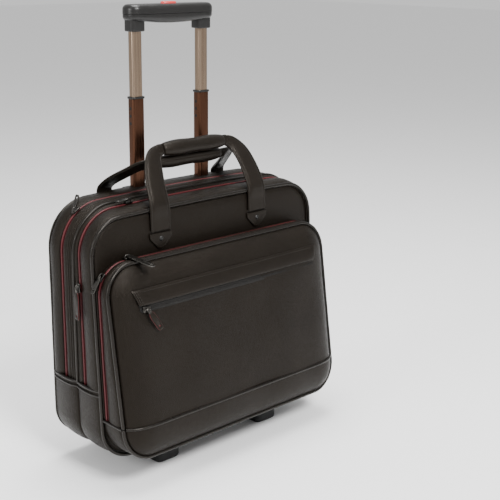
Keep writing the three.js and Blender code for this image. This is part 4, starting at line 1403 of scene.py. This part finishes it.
for letter, side in (("l", -1), ("r", 1)):
    piece(
        f"upper_stage_{letter}", tube_mesh(side * TUBE_X, 9, 6, 324, 640, 3.5), "upper_stage",
        BRONZE, "bronze_tube", sharp=60, node=f"upper_tube_{letter}"
    )
    piece(
        f"middle_stage_{letter}", tube_mesh(side * TUBE_X, 10.5, 7.5, 206, 524, 4.2),
        "middle_stage", BROWN, "bronze_tube", sharp=60, node=f"middle_tube_{letter}"
    )
    piece(
        f"collar_ring_{letter}",
        rounded_block(
            side * TUBE_X - 11.7, side * TUBE_X + 11.7, 62.3, 79.7, 524.1, 527.2, 4.8, top=1.1,
            bottom=0.6
        ),
        "middle_stage", PLASTIC, "black_plastic", sharp=60, node=f"collar_{letter}"
    )
    # The rebuilt middle tube is solid, so thin flat black discs on its side stand for the three
    # lock holes: painted shade, where the holes' dark insides would be.
    hole_shade_discs = bmesh.new()
    for z in LOCK_HOLES:
        facing = Matrix.Translation(
            spot(side * TUBE_X - 10.5, REAR_Y - TUBE_Y, z)
        ) @ Matrix.Rotation(math.radians(90), 4, "Y")
        bmesh.ops.create_cone(
            hole_shade_discs, cap_ends=True, segments=24, radius1=2.3 * MM, radius2=2.3 * MM, depth=0.2 * MM,
            matrix=facing
        )
    piece(f"lock_hole_shade_{letter}", hole_shade_discs, "middle_stage", HARD_BLACK, "black_plastic", sharp=60)
print("tubes done")

# %% Grip and button
def bellied(bm, floor, depth):
    """Lowers the underside towards the middle."""
    for v in bm.verts:
        x = (v.co.x / MM - MIDDLE_X) / 60
        low = min(max((floor + 8 - v.co.z / MM) / 8, 0), 1)
        v.co.z -= depth * MM * max(0, 1 - x * x) * low
    return bm


lower_bm = rounded_block(-79, 79, 54.3, 87.7, 634.6, 644, 15, bottom=6.5, segments=8)
bmesh.ops.subdivide_edges(
    lower_bm, edges=[e for e in lower_bm.edges if abs(e.verts[0].co.x - e.verts[1].co.x) > 0.05],
    cuts=24
)
bellied(lower_bm, 634.6, 4)
for side in (-1, 1):
    merge_in(
        lower_bm,
        rounded_block(
            side * TUBE_X - 13, side * TUBE_X + 13, 60, 82, 620, 641, 6.5, bottom=1.6, segments=6
        )
    )
piece("grip_lower", lower_bm, "upper_stage", **MOULDED, node="grip_lower_shell")
upper_bm = rounded_block(-79.3, 79.3, 54, 88, 644.5, 658, 15.4, top=7.5, segments=8)
piece("grip_upper", upper_bm, "upper_stage", **MOULDED, node="grip_upper_shell")

button_bm = bmesh.new()
bmesh.ops.create_circle(button_bm, cap_ends=True, segments=48, radius=1)
bmesh.ops.scale(button_bm, verts=button_bm.verts, vec=Vector((14, 6.5, 1)) * MM)
draw_out(button_bm, (0, 0, 9 * MM))
bmesh.ops.recalc_face_normals(button_bm, faces=button_bm.faces)
rim = [e for e in button_bm.edges if all(v.co.z > 8.9 * MM for v in e.verts)]
round_edges(button_bm, rim, 2.2, 5)
bmesh.ops.translate(button_bm, verts=button_bm.verts, vec=spot(0, REAR_Y - TUBE_Y, 652))
piece("button_cap", button_bm, "button", BUTTON_RED, "red_plastic", sharp=50, node="release_button")
print("grip done")

# %% [markdown]
# ## Wheels
# A wheel is turned, so its profile is drawn once as a few points (distance from the axle, distance
# along it) and spun round the axle. Tyre and hub turn together.

# %% Turned parts
def turned(profile, x, depth, z, steps=72):
    bm = bmesh.new()
    points = [bm.verts.new(Vector((a, 0, r)) * MM) for r, a in profile]
    edges = [bm.edges.new((a, b)) for a, b in zip(points, points[1:] + points[:1])]
    bmesh.ops.spin(
        bm, geom=points + edges, cent=(0, 0, 0), axis=(1, 0, 0), angle=2 * math.pi, steps=steps,
        use_merge=True
    )
    bmesh.ops.remove_doubles(bm, verts=bm.verts, dist=0.00001)
    bmesh.ops.translate(bm, verts=bm.verts, vec=spot(x, depth, z))
    return bm


TYRE = [
    (22, -10), (26, -10.2), (28.6, -9.4), (29.8, -7.6), (30, -5.4), (29.4, -4.9), (29.4, -4.1),
    (30, -3.6), (30, 3.6), (29.4, 4.1), (29.4, 4.9), (30, 5.4), (29.8, 7.6), (28.6, 9.4),
    (26, 10.2), (22, 10)
]
HUB = [
    (4.4, -10.4), (8, -10.4), (9, -9.6), (10, -7), (18.2, -7), (19.4, -9.6), (21.9, -10),
    (21.9, 10), (19.4, 9.6), (18.2, 7), (10, 7), (9, 9.6), (8, 10.4), (4.4, 10.4)
]
for letter, side in (("l", -1), ("r", 1)):
    x = side * WHEEL_X
    piece(
        f"tyre_ring_{letter}", turned(TYRE, x, WHEEL_DEPTH, WHEEL_RADIUS), f"wheel_{letter}",
        RUBBER, "tyre", sharp=35, node=f"tyre_{letter}"
    )
    hub_bm = turned(HUB, x, WHEEL_DEPTH, WHEEL_RADIUS)
    for k in range(6):
        spoke = bmesh.new()
        bmesh.ops.create_cube(spoke, size=1)
        bmesh.ops.scale(spoke, verts=spoke.verts, vec=Vector((17, 3, 10)) * MM)
        bmesh.ops.translate(spoke, verts=spoke.verts, vec=Vector((0, 0, 14)) * MM)
        round_edges(spoke, spoke.edges[:], 0.6, 2)
        bmesh.ops.rotate(
            spoke, verts=spoke.verts, cent=(0, 0, 0),
            matrix=Matrix.Rotation(math.radians(60 * k), 3, "X")
        )
        bmesh.ops.translate(spoke, verts=spoke.verts, vec=spot(x, WHEEL_DEPTH, WHEEL_RADIUS))
        merge_in(hub_bm, spoke)
    piece(
        f"hub_disc_{letter}", hub_bm, f"wheel_{letter}", HARD_BLACK, "black_plastic", sharp=35,
        node=f"hub_{letter}"
    )
print("wheels done")

# %% [markdown]
# ## Parts that keep their modelled shape
# The wheel housings, axles, outer tubes and the hidden boards already have the right shape, so
# they only get their finish. The feet are built again with softer edges.

# %% Finishes for the kept parts
kept = {
    HARD_BLACK: ("wheel_housing_l", "wheel_housing_r", "top_bezel", "bottom_bracket", "base_board"),
    STEEL: ("axle_l", "axle_r", "outer_tube_l", "outer_tube_r"),
    LINING: ("lower_partition",),
}
for material, names in kept.items():
    for name in names:
        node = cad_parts[name]
        node.data.materials.clear()
        node.data.materials.append(material)
for letter, side in (("l", -1), ("r", 1)):
    foot_bm = rounded_block(
        side * 102 - 22, side * 102 + 22, REAR_Y - 130, REAR_Y - 92, 0, 29.6, 10, bottom=6,
        segments=7
    )
    piece(
        f"foot_block_{letter}", foot_bm, "case", HARD_BLACK, "black_plastic", sharp=50,
        node=f"front_foot_{letter}"
    )
divider_bm = panel(mixed(0.05), level(60.8), BOOT_TOP + 1, 388, 4.0, 0.4, 10, columns=30, rows=24)
piece("laptop_divider", divider_bm, "mid_section", LINING, "lining", wall=2.0, turn=False)
print("kept parts:", sum(len(n) for n in kept.values()))

# %% [markdown]
# ## Camera, floor and light
# A long lens from the left and a little above shows the case in three-quarter view. The floor is
# plain and pale. A strong soft light from above and in front, a weaker one at the left, one from
# the top and a plain world give black leather its broad highlights.

# %% Camera
camera = bpy.data.objects.new("Camera", bpy.data.cameras.new("Camera"))
bpy.context.scene.collection.objects.link(camera)
camera.data.lens, camera.data.sensor_width = 75.6, 36
camera.data.clip_start, camera.data.clip_end = 0.05, 30
camera.location = spot(-1007.42, REAR_Y + 1148.31, 728.70)
aim = spot(88.263, REAR_Y + 15, 283.964)
camera.rotation_mode = "QUATERNION"
tilt = Matrix.Rotation(math.radians(0.59), 4, "Z").to_quaternion()
camera.rotation_quaternion = (aim - camera.location).to_track_quat("-Z", "Y") @ tilt
bpy.context.scene.camera = camera
print("camera distance:", round((aim - camera.location).length, 3), "m")

# %% Floor and world
PAPER = bpy.data.materials.new("PaleFloor")
PAPER.use_nodes = True
PAPER.node_tree.nodes["Principled BSDF"].inputs["Base Color"].default_value = (0.9, 0.9, 0.9, 1)
PAPER.node_tree.nodes["Principled BSDF"].inputs["Roughness"].default_value = 0.9
floor_bm = bmesh.new()
bmesh.ops.create_grid(floor_bm, x_segments=1, y_segments=1, size=12)
floor_mesh = bpy.data.meshes.new("Floor")
floor_bm.to_mesh(floor_mesh)
floor_bm.free()
floor_mesh.materials.append(PAPER)
floor = bpy.data.objects.new("Floor", floor_mesh)
bpy.context.scene.collection.objects.link(floor)
world = bpy.data.worlds.new("Studio")
world.use_nodes = True
world.node_tree.nodes["Background"].inputs["Color"].default_value = (1, 1, 1, 1)
world.node_tree.nodes["Background"].inputs["Strength"].default_value = 0.8
bpy.context.scene.world = world


# %% Lights
def soft_light(name, place, target, size, power):
    lamp = bpy.data.lights.new(name, "AREA")
    lamp.shape, lamp.size, lamp.energy = "DISK", size, power
    holder = bpy.data.objects.new(name, lamp)
    holder.location = place
    holder.rotation_mode = "QUATERNION"
    holder.rotation_quaternion = (Vector(target) - Vector(place)).to_track_quat("-Z", "Y")
    bpy.context.scene.collection.objects.link(holder)


soft_light("Key", (-0.3, -1.9, 2.1), (0, 0, 0.25), 0.9, 105)
soft_light("Side", (-2.0, 0.1, 1.1), (0, 0, 0.25), 0.9, 26)
soft_light("Top", (0.2, 0.2, 2.3), (0, 0, 0.3), 1.2, 60)
print("lights:", len(bpy.data.lights))
